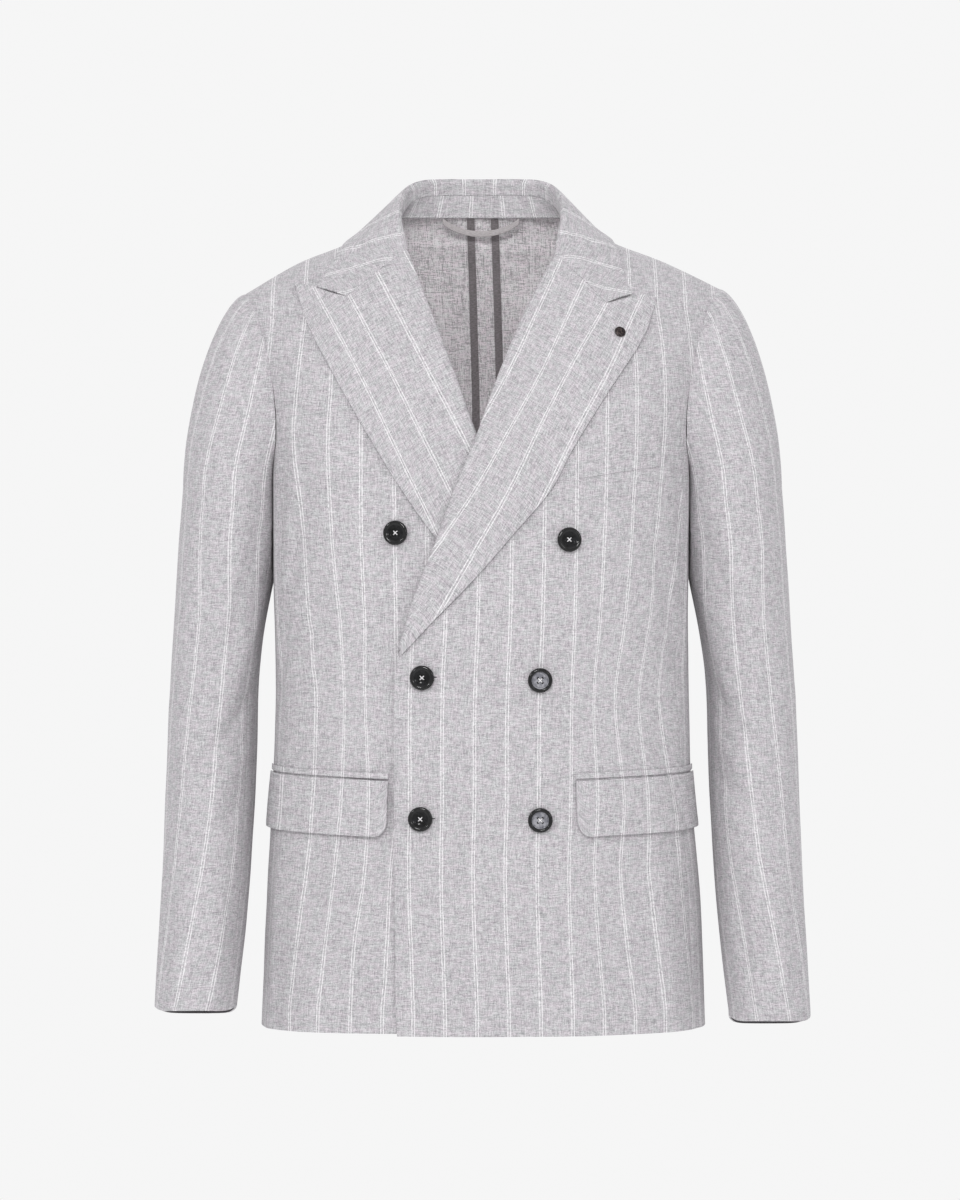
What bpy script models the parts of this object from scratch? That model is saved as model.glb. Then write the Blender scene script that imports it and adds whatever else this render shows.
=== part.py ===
"""Double breasted jacket, as worn and with nobody in it: open neck, hem, armholes and cuffs.

Metres, +Z up. The origin is the nape, where the back seam meets the collar. The front faces -Y and
the wearer's left is +X. Left and right are the wearer's. The left front lies over the right one.

The body is one surface. A place on it has an azimuth in degrees, 0 at the centre front, 90 at the
wearer's left side and 180 at the centre back, and a level: -1 at the hem, 0 round the chest at the
foot of the armholes, 1 along the shoulder seams and the neckline. Each piece of cloth is a sheet
bent to that surface, moved out by its lift, and given its thickness by a Solidify modifier.
"""

from math import cos, exp, pi, radians, sin

import bmesh
import bpy
from mathutils import Matrix, Vector
from mathutils.bvhtree import BVHTree

MM = 0.001
CLOTH = 1.6 * MM  # thickness of every wall of suiting
TRIM = 1.0 * MM  # thickness of the tapes and the pocket edges
SEAM_GAP = 0.3 * MM

HEM = -731 * MM
CHEST = -245 * MM
RIGHT_FRONT_SHORTER = 5 * MM  # the front that lies under hangs this much higher at its edge

# Level sections of the body. Columns in mm: height, half width, middle (how far the skirt swings to
# the left), centre front, centre back, depth at which it is widest; then how square the section is
# (2 is an ellipse).
GIRTHS = [
    (-731, 198.5, 2.2, -196, 54, -68, 2.6),
    (-620, 194.0, 2.2, -194, 48, -70, 2.5),
    (-530, 187.5, 0.8, -193, 34, -76, 2.5),
    (-440, 184.5, 1.2, -194, 26, -78, 2.5),
    (-350, 185.0, 0.0, -196, 38, -72, 2.5),
    (-245, 188.0, 0.0, -193, 50, -66, 2.5),
]

# Soft hollows between the folds of the skirt and the waist. Columns: height in mm, azimuth, depth in
# mm, then half the height in mm and half the width in degrees over which it fades.
BODY_HOLLOWS = [
    (-700, 52, 3.5, 130, 11),
    (-670, 20, 2.5, 110, 10),
    (-690, -50, 3.5, 120, 11),
    (-410, 62, 2.5, 45, 13),
    (-400, -60, 2.5, 50, 13),
    (-690, 128, 4.5, 150, 13),
    (-710, 158, 3.0, 120, 10),
    (-680, -135, 4.5, 140, 14),
    (-420, 140, 3.0, 40, 20),
    (-380, -150, 3.0, 35, 22),
]

# Left shoulder seam from the neck to the sleeve. Columns: share of its length, then x, y, z in mm,
# and how much nearer to the neck and lower the right one is.
SHOULDER_SEAM = [
    (0.00, 82, -45, -4, 0, 0),
    (0.27, 115, -46, -26.5, 0, 0),
    (0.62, 165, -48, -46.5, 0.5, 1),
    (1.00, 216, -50, -71.5, 2.5, 4.5),
]
NECK_PIT = Vector((0, -118, -60)) * MM
NECK_POINT = Vector((82, -45, -4)) * MM

# How full the cloth curves over from the chest to the shoulder seam (2 is an ellipse).
# Columns: azimuth, fullness.
ARCHES = [(0, 1.3), (24, 1.35), (40, 1.65), (73, 2.1), (108, 2.1), (140, 2.3), (180, 1.5)]
ARCH_SIDEWAYS = 1.8  # the same for how the cloth comes in sideways on its way up
SEAM_SOFTNESS = 18  # degrees over which the corners of the neckline fade lower down

FRONT_NECK_AZIMUTH = 38  # where the shoulder seam starts and ends, as azimuths of the front
FRONT_SEAM = 73  # front to side panel, and above it the front of the armhole
BACK_SEAM = 108  # side panel to back, and above it the back of the armhole
BACK_NECK_AZIMUTH = 140
SEAM_HALF_GAP = 0.05  # degrees, which is half the seam gap round the body

SCYE_LEVEL = 0.2  # the armhole is rounded off below this level
SCYE_ROUNDNESS = 2.2

# Centre back seam: how far it wanders from the middle. Columns in mm: height, x.
BACK_SEAM_DRIFT = [(-731, 2), (-450, 4), (-190, 6.5), (-100, 4.6), (0, 1.5)]

# Edges that show from the front, as (x, z) in mm, from the top down.
LEFT_ROLL = [(68, -45), (42.4, -95), (18.4, -153), (-2.6, -212), (-23.5, -264), (-37.4, -303),
             (-57.3, -354), (-64.3, -379), (-70.4, -394)]
RIGHT_ROLL = [(-68, -41), (-43.3, -91), (-24.6, -149), (-3.5, -212), (23.5, -264), (37.4, -303),
              (57.3, -354), (64.3, -379), (70.4, -394)]
FRONT_EDGE = [(73.5, -408), (75.5, -440), (75.7, -566), (74.5, -700), (73, -731)]
LEFT_LAPEL_EDGE = [(155, -85), (141.6, -121), (107.8, -174), (78.5, -222), (60, -256), (24, -299),
                   (1.7, -325), (-18, -346), (-45, -374), (-70, -400)]
RIGHT_LAPEL_EDGE = [(-166, -69), (-150, -112), (-130, -151), (-102, -202), (-72, -250),
                    (-37.4, -299), (-5, -326), (18, -346), (45, -374), (70, -400)]
LEFT_NOTCH = (110, -91)
RIGHT_NOTCH = (-118, -85)
LEFT_PEAK_TOP = [(121, -88), (142, -82), (155, -85)]
RIGHT_PEAK_TOP = [(-131, -81), (-147, -75), (-166, -69)]
LEFT_COLLAR_END = (133, -82)
RIGHT_COLLAR_END = (-145, -75.5)

# The right front lies deeper where the left one covers it. Columns in mm: height, depth.
UNDERLAP = [(-731, 3.4), (-440, 3.4), (-400, 6.6), (-170, 6.6), (-105, 0), (-95, 0), (0, 0)]
UNDERLAP_FROM, UNDERLAP_TO = -135 * MM, -80 * MM

NECK_RETREAT = 5  # mm across and down that a front's neckline keeps from the top of the roll line

LAPEL_LIFT = 3.1 * MM
LAPEL_EDGE_LIFT = 3.7 * MM
# The rolled edge of a lapel. Columns in mm: distance past the roll line, lift.
LAPEL_CURL = [(2.1, -0.2), (1.9, 1.4), (0.4, 2.7)]

# Collar, from the centre back to the gorge. Columns: share of the way, then in mm the fold's x, y, z
# and the outer edge's x, y, z on the left side, and how much wider the edge lies on the right side.
COLLAR = [
    (0.00, 0, 3, 34, 0, 17, -14, 0),
    (0.15, 28, 1.5, 34.2, 36, 14, -15, 0),
    (0.30, 52, -10, 32, 76, 2, -18, 1),
    (0.45, 66, -28, 25, 104, -24, -21, 3),
    (0.60, 73, -52, 12, 115, -54, -27, 4),
    (0.75, 74, -76, -6, 120, -80, -45, 7),
    (0.88, 70.5, -92, -27, 126, -100, -64, 10),
    (1.00, 68, -103, -44, 133, -119, -82, 12),
]
COLLAR_TURN = 12 * MM  # height of the fall's own strip inside the neck
COLLAR_FOLD = 2.6 * MM  # half the thickness of the folded collar at its top
COLLAR_LIFT = 3.8 * MM
# The inside of the fold: how far in it lies, as a share of the fold, and how much of its drop is gone
# at the front ends.
INSIDE_FOLD_DEPTH, INSIDE_FOLD_TAPER = 0.8, 0.85
# The folded edge of the collar where it meets a lapel, from inside. Columns in mm: distance past the
# roll line, lift.
COLLAR_CURL = [(2.1, -3.6), (2.3, -0.8), (1.9, 1.6)]
# Height in mm between the collar's end and the gorge, at the roll line and at the notch.
GORGE_GAP_TOP, GORGE_GAP_NOTCH = 3.4, 1.3

POCKET_FRONT, POCKET_BACK = 36.5, 86  # azimuths of the ends of the side pockets
POCKET_TOP = -509 * MM
POCKET_RISE = 5 * MM  # the back end lies this much higher
FLAP_LENGTH, FLAP_HEIGHT = 150 * MM, 49 * MM
FLAP_LIFT, FLAP_STAND_AWAY = 2.4 * MM, 1.8 * MM  # at its top, and what its lower edge adds
# Where the columns of a flap lie, as shares of its length, closer together at the round corners.
FLAP_COLUMNS = [0, 0.02, 0.05, 0.1, 0.2, 0.32, 0.45, 0.58, 0.7, 0.82, 0.92, 0.98, 1]
FLAP_ROWS = 4
FLAP_FRONT_ROUND, FLAP_BACK_ROUND = 13 * MM, 5 * MM
WELT_HEIGHT, WELT_LIFT, WELT_COLUMNS = 5 * MM, 1.8 * MM, 12
BREAST_POCKET = [(84, -246), (157, -234), (157, -205), (84, -218)]  # its corners, as (x, z) in mm
BREAST_LIFT, BREAST_COLUMNS, BREAST_ROWS = 1.9 * MM, 6, 2

BUTTON_SHANK = 1.5 * MM  # gap under a button, filled by its thread
# Turned profile of a button, from the middle of its face out and round to its base.
# Columns in mm: radius, height.
BUTTON_PROFILE = [(0, 2.6), (6.4, 2.6), (7.8, 3.6), (9.2, 3.9), (10.5, 3.1), (10.8, 2.0), (9.0, 0.5),
                  (0, 0)]
BUTTON_HOLE_RADIUS, BUTTON_HOLE_SPREAD = 1.0 * MM, 2.3 * MM
# Places of the buttons. Columns: name, then x and z in mm.
BUTTONS = [
    ("button_top_right", -74, -293),
    ("button_top_left", 76, -299),
    ("button_middle_right", -51, -419),
    ("button_middle_left", 51, -421),
    ("button_bottom_right", -52.5, -542),
    ("button_bottom_left", 51.5, -543),
]
STUD_PLACE, STUD_RADIUS, STUD_FLATNESS = (122, -116), 5 * MM, 0.3

LOOP_HALF_SPAN, LOOP_SAG, LOOP_WIDTH = 35 * MM, 12 * MM, 5.5 * MM
LOOP_TOP, LOOP_COLUMNS = -4 * MM, 16
LOOP_DEPTH, LOOP_END_DEPTH = -3.5 * MM, 3 * MM  # in front of the nape, and what its ends add
TAPE_WIDTH, TAPE_SPREAD = 7 * MM, 11 * MM  # the spread is from the seam to the middle of a tape
TAPE_TOP = 0.97  # the level where a tape ends, just under the collar

# Sleeve. Columns in mm: height, centre x, centre y, half width, half depth.
ARM_GIRTHS = [
    (-722, 256.6, -112, 35.7, 47),
    (-620, 249.6, -93, 38.0, 51),
    (-530, 245.6, -77, 39.0, 55),
    (-440, 241.2, -66, 40.8, 59),
    (-350, 233.4, -62, 43.4, 63),
    (-270, 225.2, -63, 45.6, 65),
]
# The same for the sleeves, with degrees round the sleeve, from its top by way of the front.
LEFT_SLEEVE_HOLLOWS = [(-445, 130, 4.5, 55, 38), (-560, 75, 3.0, 60, 30), (-500, 290, 3.5, 60, 35)]
RIGHT_SLEEVE_HOLLOWS = [(-465, 120, 4.5, 50, 35), (-385, 80, 3.0, 50, 30), (-530, 280, 3.5, 65, 35)]
UPPER_ARM = -270 * MM
UPPER_ARM_TILT = 20 * MM  # the ring there is this much higher outside than its middle
LEFT_CUFF, RIGHT_CUFF = -727 * MM, -718 * MM
CUFF_TILT = 6 * MM  # the front of a cuff is this much higher than its middle
RIGHT_ARM_CLOSER = 2.5 * MM  # the right sleeve hangs this much closer to the body
SLEEVE_HEAD_FULLNESS = 1.6
SLEEVE_CLEARANCE = 3 * MM  # between the middles of the sleeve's and the body's walls
SLEEVE_SEAM_GAP = 0.45 * MM  # from a sleeve's seam to the edge on either side of it
SLEEVE_START = (0.7 * MM, 1.9 * MM)  # gap at the top of the armhole, and what its foot adds
SCYE_TURN = 125  # degrees round the sleeve from its top to where the armhole's foot starts

BODY_ROWS, SCYE_ROWS, YOKE_ROWS = 17, 2, 6
YOKE_CROWDING = 1.6  # how much closer the rows come towards the shoulder seam
EDGE_ROWS, ROLL_ROWS, NECK_ROWS = 10, 12, 3  # rows of a front at its edge, roll line and neckline
FRONT_COLUMNS, SIDE_COLUMNS, BACK_COLUMNS = 14, 5, 9
HEAD_ROWS, ARM_ROWS = 6, 11
CAP_COLUMNS = 6  # columns of a sleeve from its top to either end of the armhole's foot
UNDER_SLEEVE_FIRST, UNDER_SLEEVE_COLUMNS = CAP_COLUMNS + 1, SIDE_COLUMNS
AROUND_SLEEVE = 2 * CAP_COLUMNS + SIDE_COLUMNS
LAPEL_ROWS = 2 * ROLL_ROWS
GORGE_COLUMNS, PEAK_COLUMNS = 4, 3  # columns of a lapel along its gorge, and from there to its peak
COLLAR_STATIONS, STAND_STATIONS = 14, 11  # on each side of the centre back
FALL_ROWS = GORGE_COLUMNS + 1  # at its front ends, all but the last run along the gorge

SUITING = ("suiting", (0.56, 0.56, 0.58), 0.9, 0.0)
HORN = ("dark_horn", (0.02, 0.02, 0.024), 0.3, 0.0)
BINDING = ("binding_tape", (0.23, 0.21, 0.20), 0.7, 0.0)
DARK_METAL = ("dark_metal", (0.05, 0.04, 0.04), 0.35, 0.8)


def read_table(rows, place):
    """The values of a table at a place between its rows, along smooth curves."""
    place = min(max(place, rows[0][0]), rows[-1][0])
    at = max(i for i in range(len(rows) - 1) if rows[i][0] <= place)
    start, end = rows[at], rows[at + 1]
    before, after = rows[max(at - 1, 0)], rows[min(at + 2, len(rows) - 1)]
    span = end[0] - start[0]
    t = (place - start[0]) / span
    values = []
    for column in range(1, len(start)):
        leaving = (end[column] - before[column]) / (end[0] - before[0]) * span
        arriving = (after[column] - start[column]) / (after[0] - start[0]) * span
        values.append(
            (2 * t**3 - 3 * t**2 + 1) * start[column]
            + (t**3 - 2 * t**2 + t) * leaving
            + (3 * t**2 - 2 * t**3) * end[column]
            + (t**3 - t**2) * arriving
        )
    return values


def smooth_step(value, start, end):
    t = min(max((value - start) / (end - start), 0), 1)
    return t * t * (3 - 2 * t)


def with_shares(points):
    """A line's points as rows of a table: the share of its length, then the point."""
    lengths = [(Vector(b) - Vector(a)).length for a, b in zip(points, points[1:])]
    return [(sum(lengths[:i]) / sum(lengths), *point) for i, point in enumerate(points)]


def along_curve(points, share):
    """The point at a share of the length of a smooth line through some points."""
    return Vector(read_table(with_shares(points), share))


def along_line(points, share):
    """The point at a share of the length of a line with corners."""
    rows = with_shares(points)
    at = max(i for i in range(len(rows) - 1) if rows[i][0] <= share)
    start, end = rows[at], rows[at + 1]
    return Vector(start[1:]).lerp(Vector(end[1:]), (share - start[0]) / (end[0] - start[0]))


def bisect(measure, target, low, high):
    """Where a growing measure reaches its target."""
    for _ in range(30):
        middle = (low + high) / 2
        if measure(middle) < target:
            low = middle
        else:
            high = middle
    return (low + high) / 2


def hollow(hollows, height, turn):
    """How deep a table of soft hollows is at a height and a turn, in mm."""
    deep = 0
    for middle, facing, depth, half_height, half_width in hollows:
        off = (turn - facing + 180) % 360 - 180
        deep += depth * exp(-(((height / MM - middle) / half_height) ** 2) - (off / half_width) ** 2)
    return deep


# The surface of the body


def girth_point(azimuth, height):
    half, middle, front, back, widest, square = read_table(GIRTHS, height / MM)
    across, ahead = sin(radians(azimuth)), cos(radians(azimuth))
    depth = widest - front if ahead > 0 else back - widest
    reach = ((abs(across) / half) ** square + (abs(ahead) / depth) ** square) ** (-1 / square)
    reach -= hollow(BODY_HOLLOWS, height, azimuth)
    return Vector((middle + reach * across, widest - reach * ahead, height / MM)) * MM


def top_point(azimuth, side):
    """The neckline and the shoulder seam of one side, mirrored to the left, for an azimuth from 0 to
    180."""
    if azimuth < FRONT_NECK_AZIMUTH:
        turn = azimuth / FRONT_NECK_AZIMUTH * pi / 2
        rise = NECK_PIT - NECK_POINT
        return NECK_POINT + Vector(
            (-NECK_POINT.x * (1 - sin(turn)), rise.y * cos(turn), rise.z * cos(turn))
        )
    if azimuth > BACK_NECK_AZIMUTH:
        turn = (180 - azimuth) / (180 - BACK_NECK_AZIMUTH) * pi / 2
        rest = 1 - cos(turn)
        return Vector((NECK_POINT.x * sin(turn), NECK_POINT.y * rest, NECK_POINT.z * rest))
    if azimuth < FRONT_SEAM:
        share = (azimuth - FRONT_NECK_AZIMUTH) / (FRONT_SEAM - FRONT_NECK_AZIMUTH)
    elif azimuth > BACK_SEAM:
        share = (BACK_NECK_AZIMUTH - azimuth) / (BACK_NECK_AZIMUTH - BACK_SEAM)
    else:
        share = 1
    x, y, z, nearer, lower = read_table(SHOULDER_SEAM, share)
    return Vector((x, y, z)) * MM if side > 0 else Vector((x - nearer, y, z - lower)) * MM


def torso(azimuth, level):
    """The middle of the body's wall."""
    if level <= 0:
        return girth_point(azimuth, CHEST + level * (CHEST - HEM))
    side = 1 if sin(radians(azimuth)) >= 0 else -1
    folded = abs((azimuth + 180) % 360 - 180)
    base = girth_point(folded, CHEST)
    near = min(SEAM_SOFTNESS * (1 - min(level, 1)), folded, 180 - folded)
    around = (top_point(folded + step, side) for step in (-near, 0, 0, near))
    top = sum(around, Vector()) / 4
    (full,) = read_table(ARCHES, folded)
    turn = (1 - min(level, 1)) * pi / 2
    out, up = sin(turn) ** (2 / full), max(cos(turn), 0) ** (2 / full)
    return Vector((
        side * (base.x + (top.x - base.x) * up**ARCH_SIDEWAYS),
        top.y + (base.y - top.y) * out,
        base.z + (top.z - base.z) * up,
    ))


def torso_normal(azimuth, level):
    ahead = torso(azimuth + 0.5, level) - torso(azimuth - 0.5, level)
    high, low = min(level + 0.01, 1), level - 0.01
    return ahead.cross(torso(azimuth, high) - torso(azimuth, low)).normalized()


def level_at(azimuth, height):
    if height <= CHEST:
        return (height - CHEST) / (CHEST - HEM)
    return bisect(lambda level: torso(azimuth, level).z, height, 0, 1)


def place_at(x, z):
    """Azimuth and level of the place on the front that shows at (x, z)."""
    azimuth = bisect(lambda turn: torso(turn, level_at(turn, z)).x, x, -85, 85)
    return Vector((azimuth, level_at(azimuth, z)))


def body_tree():
    """The body's surface as triangles, to drop points on."""
    turns = [3 * i for i in range(-60, 60)]
    levels = [-1 + i / 40 for i in range(81)]
    points = [torso(turn, level) for level in levels for turn in turns]
    quads = [
        (row * 120 + i, row * 120 + (i + 1) % 120, (row + 1) * 120 + (i + 1) % 120, (row + 1) * 120 + i)
        for row in range(80)
        for i in range(120)
    ]
    return BVHTree.FromPolygons(points, quads)


BODY = body_tree()


def on_front(x, z, lift):
    """The point that shows at (x, z) from the front, moved out from the body by its lift."""
    place, normal, _, _ = BODY.ray_cast(Vector((x, -1, z)), Vector((0, 1, 0)))
    return place + normal * lift


def sheets_tree(sheets):
    """The middles of some sheets' walls as faces, to drop points on."""
    points, faces = [], []
    for made in sheets:
        first = len(points)
        points += [vertex.co for vertex in made.data.vertices]
        faces += [[first + i for i in face.vertices] for face in made.data.polygons]
    return BVHTree.FromPolygons(points, faces)


def clear_of(tree, point, lift):
    """The point, moved out where it is nearer to a tree's faces than its lift."""
    place, normal, _, _ = tree.find_nearest(point)
    return point if (point - place).dot(normal) >= lift else place + normal * lift


def underlap(point):
    """How deep the right front lies at a point."""
    (depth,) = read_table(UNDERLAP, point.z / MM)
    return -depth * MM * smooth_step(point.x, UNDERLAP_FROM, UNDERLAP_TO)


# Making pieces


def material(name, colour, roughness, metallic):
    found = bpy.data.materials.get(name)
    if found:
        return found
    made = bpy.data.materials.new(name)
    made.use_nodes = True
    shader = made.node_tree.nodes["Principled BSDF"]
    shader.inputs["Base Color"].default_value = (*colour, 1)
    shader.inputs["Roughness"].default_value = roughness
    shader.inputs["Metallic"].default_value = metallic
    return made


def piece(name, mesh, finish):
    made = bpy.data.objects.new(name, mesh)
    mesh.materials.append(material(*finish))
    mesh.shade_smooth()
    bpy.context.collection.objects.link(made)
    return made


def sheet(name, columns, rows, where, finish=SUITING, thickness=CLOTH):
    """A sheet of cloth: a grid whose points go where(column, row) says, facing out."""
    made = bmesh.new()
    bmesh.ops.create_grid(made, x_segments=columns, y_segments=rows, size=1)
    for vertex in made.verts:
        column, row = (vertex.co.x + 1) / 2 * columns, (vertex.co.y + 1) / 2 * rows
        vertex.co = where(round(column), round(row))
    mesh = bpy.data.meshes.new(name)
    made.to_mesh(mesh)
    made.free()
    made = piece(name, mesh, finish)
    wall = made.modifiers.new("Wall", "SOLIDIFY")
    wall.thickness = thickness
    wall.offset = 0
    return made


def row_level(row):
    """The level of a row of a panel at a side seam or an armhole."""
    if row <= BODY_ROWS:
        return row / BODY_ROWS - 1
    if row <= BODY_ROWS + SCYE_ROWS:
        return (row - BODY_ROWS) / SCYE_ROWS * SCYE_LEVEL
    left = 1 - (row - BODY_ROWS - SCYE_ROWS) / YOKE_ROWS
    return 1 - (1 - SCYE_LEVEL) * left**YOKE_CROWDING


PANEL_ROWS = BODY_ROWS + SCYE_ROWS + YOKE_ROWS


def front_panel(name, roll, side, depth):
    """A front, from its edge or roll line to its side seam, its armhole and its shoulder seam."""
    edge = [roll[-1]] + [(side * x, z) for x, z in FRONT_EDGE]
    spots = [along_curve(edge, 1 - row / EDGE_ROWS) for row in range(EDGE_ROWS)]
    spots += [along_curve(roll, 1 - row / ROLL_ROWS) for row in range(ROLL_ROWS + 1)]
    spots[-1] += Vector((-side, -1)) * NECK_RETREAT
    inner = [place_at(x * MM, z * MM) for x, z in spots]
    neck_point = Vector((-side * FRONT_NECK_AZIMUTH, 1))
    inner += [inner[-1].lerp(neck_point, row / NECK_ROWS) for row in range(1, NECK_ROWS + 1)]
    seam = -side * (FRONT_SEAM - SEAM_HALF_GAP)
    shorter = RIGHT_FRONT_SHORTER if side > 0 else 0

    def where(column, row):
        if side > 0:
            column = FRONT_COLUMNS - column
        outer = Vector((seam, row_level(row)))
        place = inner[row].lerp(outer, column / FRONT_COLUMNS)
        point = torso(*place)
        point += torso_normal(*place) * depth(point)
        if row == 0:
            point.z = HEM + shorter * (1 - column / FRONT_COLUMNS)
        if row == PANEL_ROWS:
            point.y -= SEAM_GAP
        return point

    return sheet(name, FRONT_COLUMNS, PANEL_ROWS, where)


def scye_foot(azimuth):
    """The level of the armhole's foot, across the top of the side panel."""
    middle, half = (FRONT_SEAM + BACK_SEAM) / 2, (BACK_SEAM - FRONT_SEAM) / 2
    off = min(abs(azimuth - middle) / half, 1)
    return SCYE_LEVEL * (1 - (1 - off**SCYE_ROUNDNESS) ** (1 / SCYE_ROUNDNESS))


def side_panel(name, side):
    rows = BODY_ROWS + SCYE_ROWS

    def where(column, row):
        share = column / SIDE_COLUMNS if side > 0 else 1 - column / SIDE_COLUMNS
        azimuth = FRONT_SEAM + share * (BACK_SEAM - FRONT_SEAM)
        gap = SEAM_HALF_GAP * (1 - 2 * share)
        level = row_level(row)
        if level > -1 / BODY_ROWS:
            down = smooth_step(level, SCYE_LEVEL, -0.2)
            level = level * down + min(level, scye_foot(azimuth)) * (1 - down)
        return torso(side * (azimuth + gap), level)

    return sheet(name, SIDE_COLUMNS, rows, where)


def beside_back_seam(level, off):
    """Azimuth of a place on the back, at a distance to the left of the centre back seam."""
    (drift,) = read_table(BACK_SEAM_DRIFT, torso(180, level).z / MM)
    return 180 - bisect(lambda turn: torso(180 - turn, level).x, drift * MM + off, -30, 30)


def back_panel(name, side):
    def where(column, row):
        share = column / BACK_COLUMNS if side > 0 else 1 - column / BACK_COLUMNS
        level = row_level(row)
        middle = beside_back_seam(level, side * SEAM_GAP / 2)
        seam = side * (BACK_SEAM + SEAM_HALF_GAP)
        if side < 0:
            middle -= 360
        point = torso(seam + share * (middle - seam), level)
        if row == PANEL_ROWS and share < 1:
            point.y += SEAM_GAP
        return point

    return sheet(name, BACK_COLUMNS, PANEL_ROWS, where)


def armhole(side):
    """The points round an armhole: down its front, along its foot and up its back."""
    levels = [1 - (1 - SCYE_LEVEL) * i / CAP_COLUMNS for i in range(CAP_COLUMNS + 1)]
    front = [torso(side * FRONT_SEAM, level) for level in levels]
    turns = [FRONT_SEAM + i / SIDE_COLUMNS * (BACK_SEAM - FRONT_SEAM) for i in range(1, SIDE_COLUMNS)]
    foot = [torso(side * turn, scye_foot(turn)) for turn in turns]
    back = [torso(side * BACK_SEAM, level) for level in reversed(levels)]
    return front + foot + back


def sleeve_turn(index):
    """Degrees round the sleeve, from its top by way of the front, of a point of the armhole."""
    if index <= CAP_COLUMNS:
        return SCYE_TURN * index / CAP_COLUMNS
    if index <= CAP_COLUMNS + SIDE_COLUMNS:
        return SCYE_TURN + (360 - 2 * SCYE_TURN) * (index - CAP_COLUMNS) / SIDE_COLUMNS
    return 360 - SCYE_TURN * (AROUND_SLEEVE - index) / CAP_COLUMNS


def arm_point(turn, height, tilt, side):
    """A point round the arm, kept clear of the body."""
    x, y, half_width, half_depth = read_table(ARM_GIRTHS, height / MM)
    across, ahead = cos(radians(turn)), sin(radians(turn))
    deep = hollow(LEFT_SLEEVE_HOLLOWS if side > 0 else RIGHT_SLEEVE_HOLLOWS, height, turn)
    out = (x + (half_width - deep) * across) * MM - (0 if side > 0 else RIGHT_ARM_CLOSER)
    point = Vector((out, (y - (half_depth - deep) * ahead) * MM, height + tilt))
    half, middle, front, back, widest, square = read_table(GIRTHS, point.z / MM)
    depth = widest - front if point.y < widest * MM else back - widest
    off = min(abs(point.y / MM - widest) / depth, 1)
    body = (side * middle + half * (1 - off**square) ** (1 / square)) * MM
    point.x = side * max(point.x, body + SLEEVE_CLEARANCE)
    return point


def sleeve_point(index, row, cuff, side):
    """A point of a sleeve: rows run from the armhole over the sleeve head to the cuff."""
    turn = sleeve_turn(index)
    across, ahead = cos(radians(turn)), sin(radians(turn))
    upper = arm_point(turn, UPPER_ARM, UPPER_ARM_TILT * across, side)
    if row >= HEAD_ROWS:
        share = (row - HEAD_ROWS) / ARM_ROWS
        tilt = UPPER_ARM_TILT * across * (1 - share) + CUFF_TILT * ahead * share
        return arm_point(turn, UPPER_ARM + (cuff - UPPER_ARM) * share, tilt, side)
    start = armhole(side)[index]
    start.x += side * (SLEEVE_START[0] + SLEEVE_START[1] * sin(radians(turn / 2)) ** 2)
    over = row / HEAD_ROWS * pi / 2
    out, up = sin(over) ** (2 / SLEEVE_HEAD_FULLNESS), cos(over) ** (2 / SLEEVE_HEAD_FULLNESS)
    return Vector((*start.xy.lerp(upper.xy, out), upper.z + (start.z - upper.z) * up))


def sleeve(name, side, cuff, first, columns):
    """Part of a sleeve, over some columns, whose edges keep clear of the other part's."""
    rows = HEAD_ROWS + ARM_ROWS

    def where(column, row):
        column = columns - column if side > 0 else column
        index = (first + column) % AROUND_SLEEVE
        row = rows - row
        point = sleeve_point(index, row, cuff, side)
        if column in (0, columns):
            inward = 1 if column == 0 else -1
            beside = sleeve_point((index + inward) % AROUND_SLEEVE, row, cuff, side)
            point += (beside - point).normalized() * SLEEVE_SEAM_GAP
        return point

    return sheet(name, columns, rows, where)


def lapel(name, front, roll, outer, top, side, depth):
    """A lapel, lying on its front: rows run down from the gorge and the peak to the break, columns
    out from the roll."""
    tree = sheets_tree([front])
    curls = len(LAPEL_CURL)
    notch = with_shares(top)[1][0]
    shares = [notch * i / GORGE_COLUMNS for i in range(1, GORGE_COLUMNS + 1)]
    shares += [notch + (1 - notch) * i / PEAK_COLUMNS for i in range(1, PEAK_COLUMNS + 1)]
    columns = curls + len(shares) - 1

    def flat(across, down):
        left, right = along_curve(roll, down), along_curve(outer, down)
        upper = along_line(top, across)
        lower = Vector(roll[-1]).lerp(Vector(outer[-1]), across)
        corners = (
            Vector(roll[0]).lerp(Vector(outer[0]), across) * (1 - down)
            + Vector(roll[-1]).lerp(Vector(outer[-1]), across) * down
        )
        return left.lerp(right, across) + upper * (1 - down) + lower * down - corners

    def where(column, row):
        if side < 0:
            column = columns - column
        down = 1 - row / LAPEL_ROWS
        if column < curls:
            past, lift = LAPEL_CURL[column]
            before, after = (along_curve(roll, down + step) for step in (-0.02, 0.02))
            run = (after - before).normalized()
            x, z = along_curve(roll, down) + Vector((run.y, -run.x)) * past * side
            lift *= MM
        else:
            across = shares[column - curls]
            x, z = flat(across, down)
            lift = LAPEL_LIFT + (LAPEL_EDGE_LIFT - LAPEL_LIFT) * across
        if row == LAPEL_ROWS:
            z -= SEAM_GAP / MM
        place, normal, _, _ = tree.ray_cast(Vector((x * MM, -1, z * MM)), Vector((0, 1, 0)))
        if place is None or column < curls:
            place = on_front(x * MM, z * MM, 0)
            return on_front(x * MM, z * MM, lift + depth(place))
        return place + normal * lift

    return sheet(name, columns, LAPEL_ROWS, where)


# Collar


def collar_line(share):
    """The fold, the outer edge and the outward direction at a share of the way, -1 to 1."""
    side = 1 if share >= 0 else -1
    values = read_table(COLLAR, abs(share))
    fold, edge = Vector(values[0:3]) * MM, Vector(values[3:6]) * MM
    if side < 0:
        edge.x += values[6] * MM
    out = Vector((edge.x - fold.x, edge.y - fold.y, 0)).normalized()
    for vector in (fold, edge, out):
        vector.x *= side
    return fold, edge, out


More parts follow.
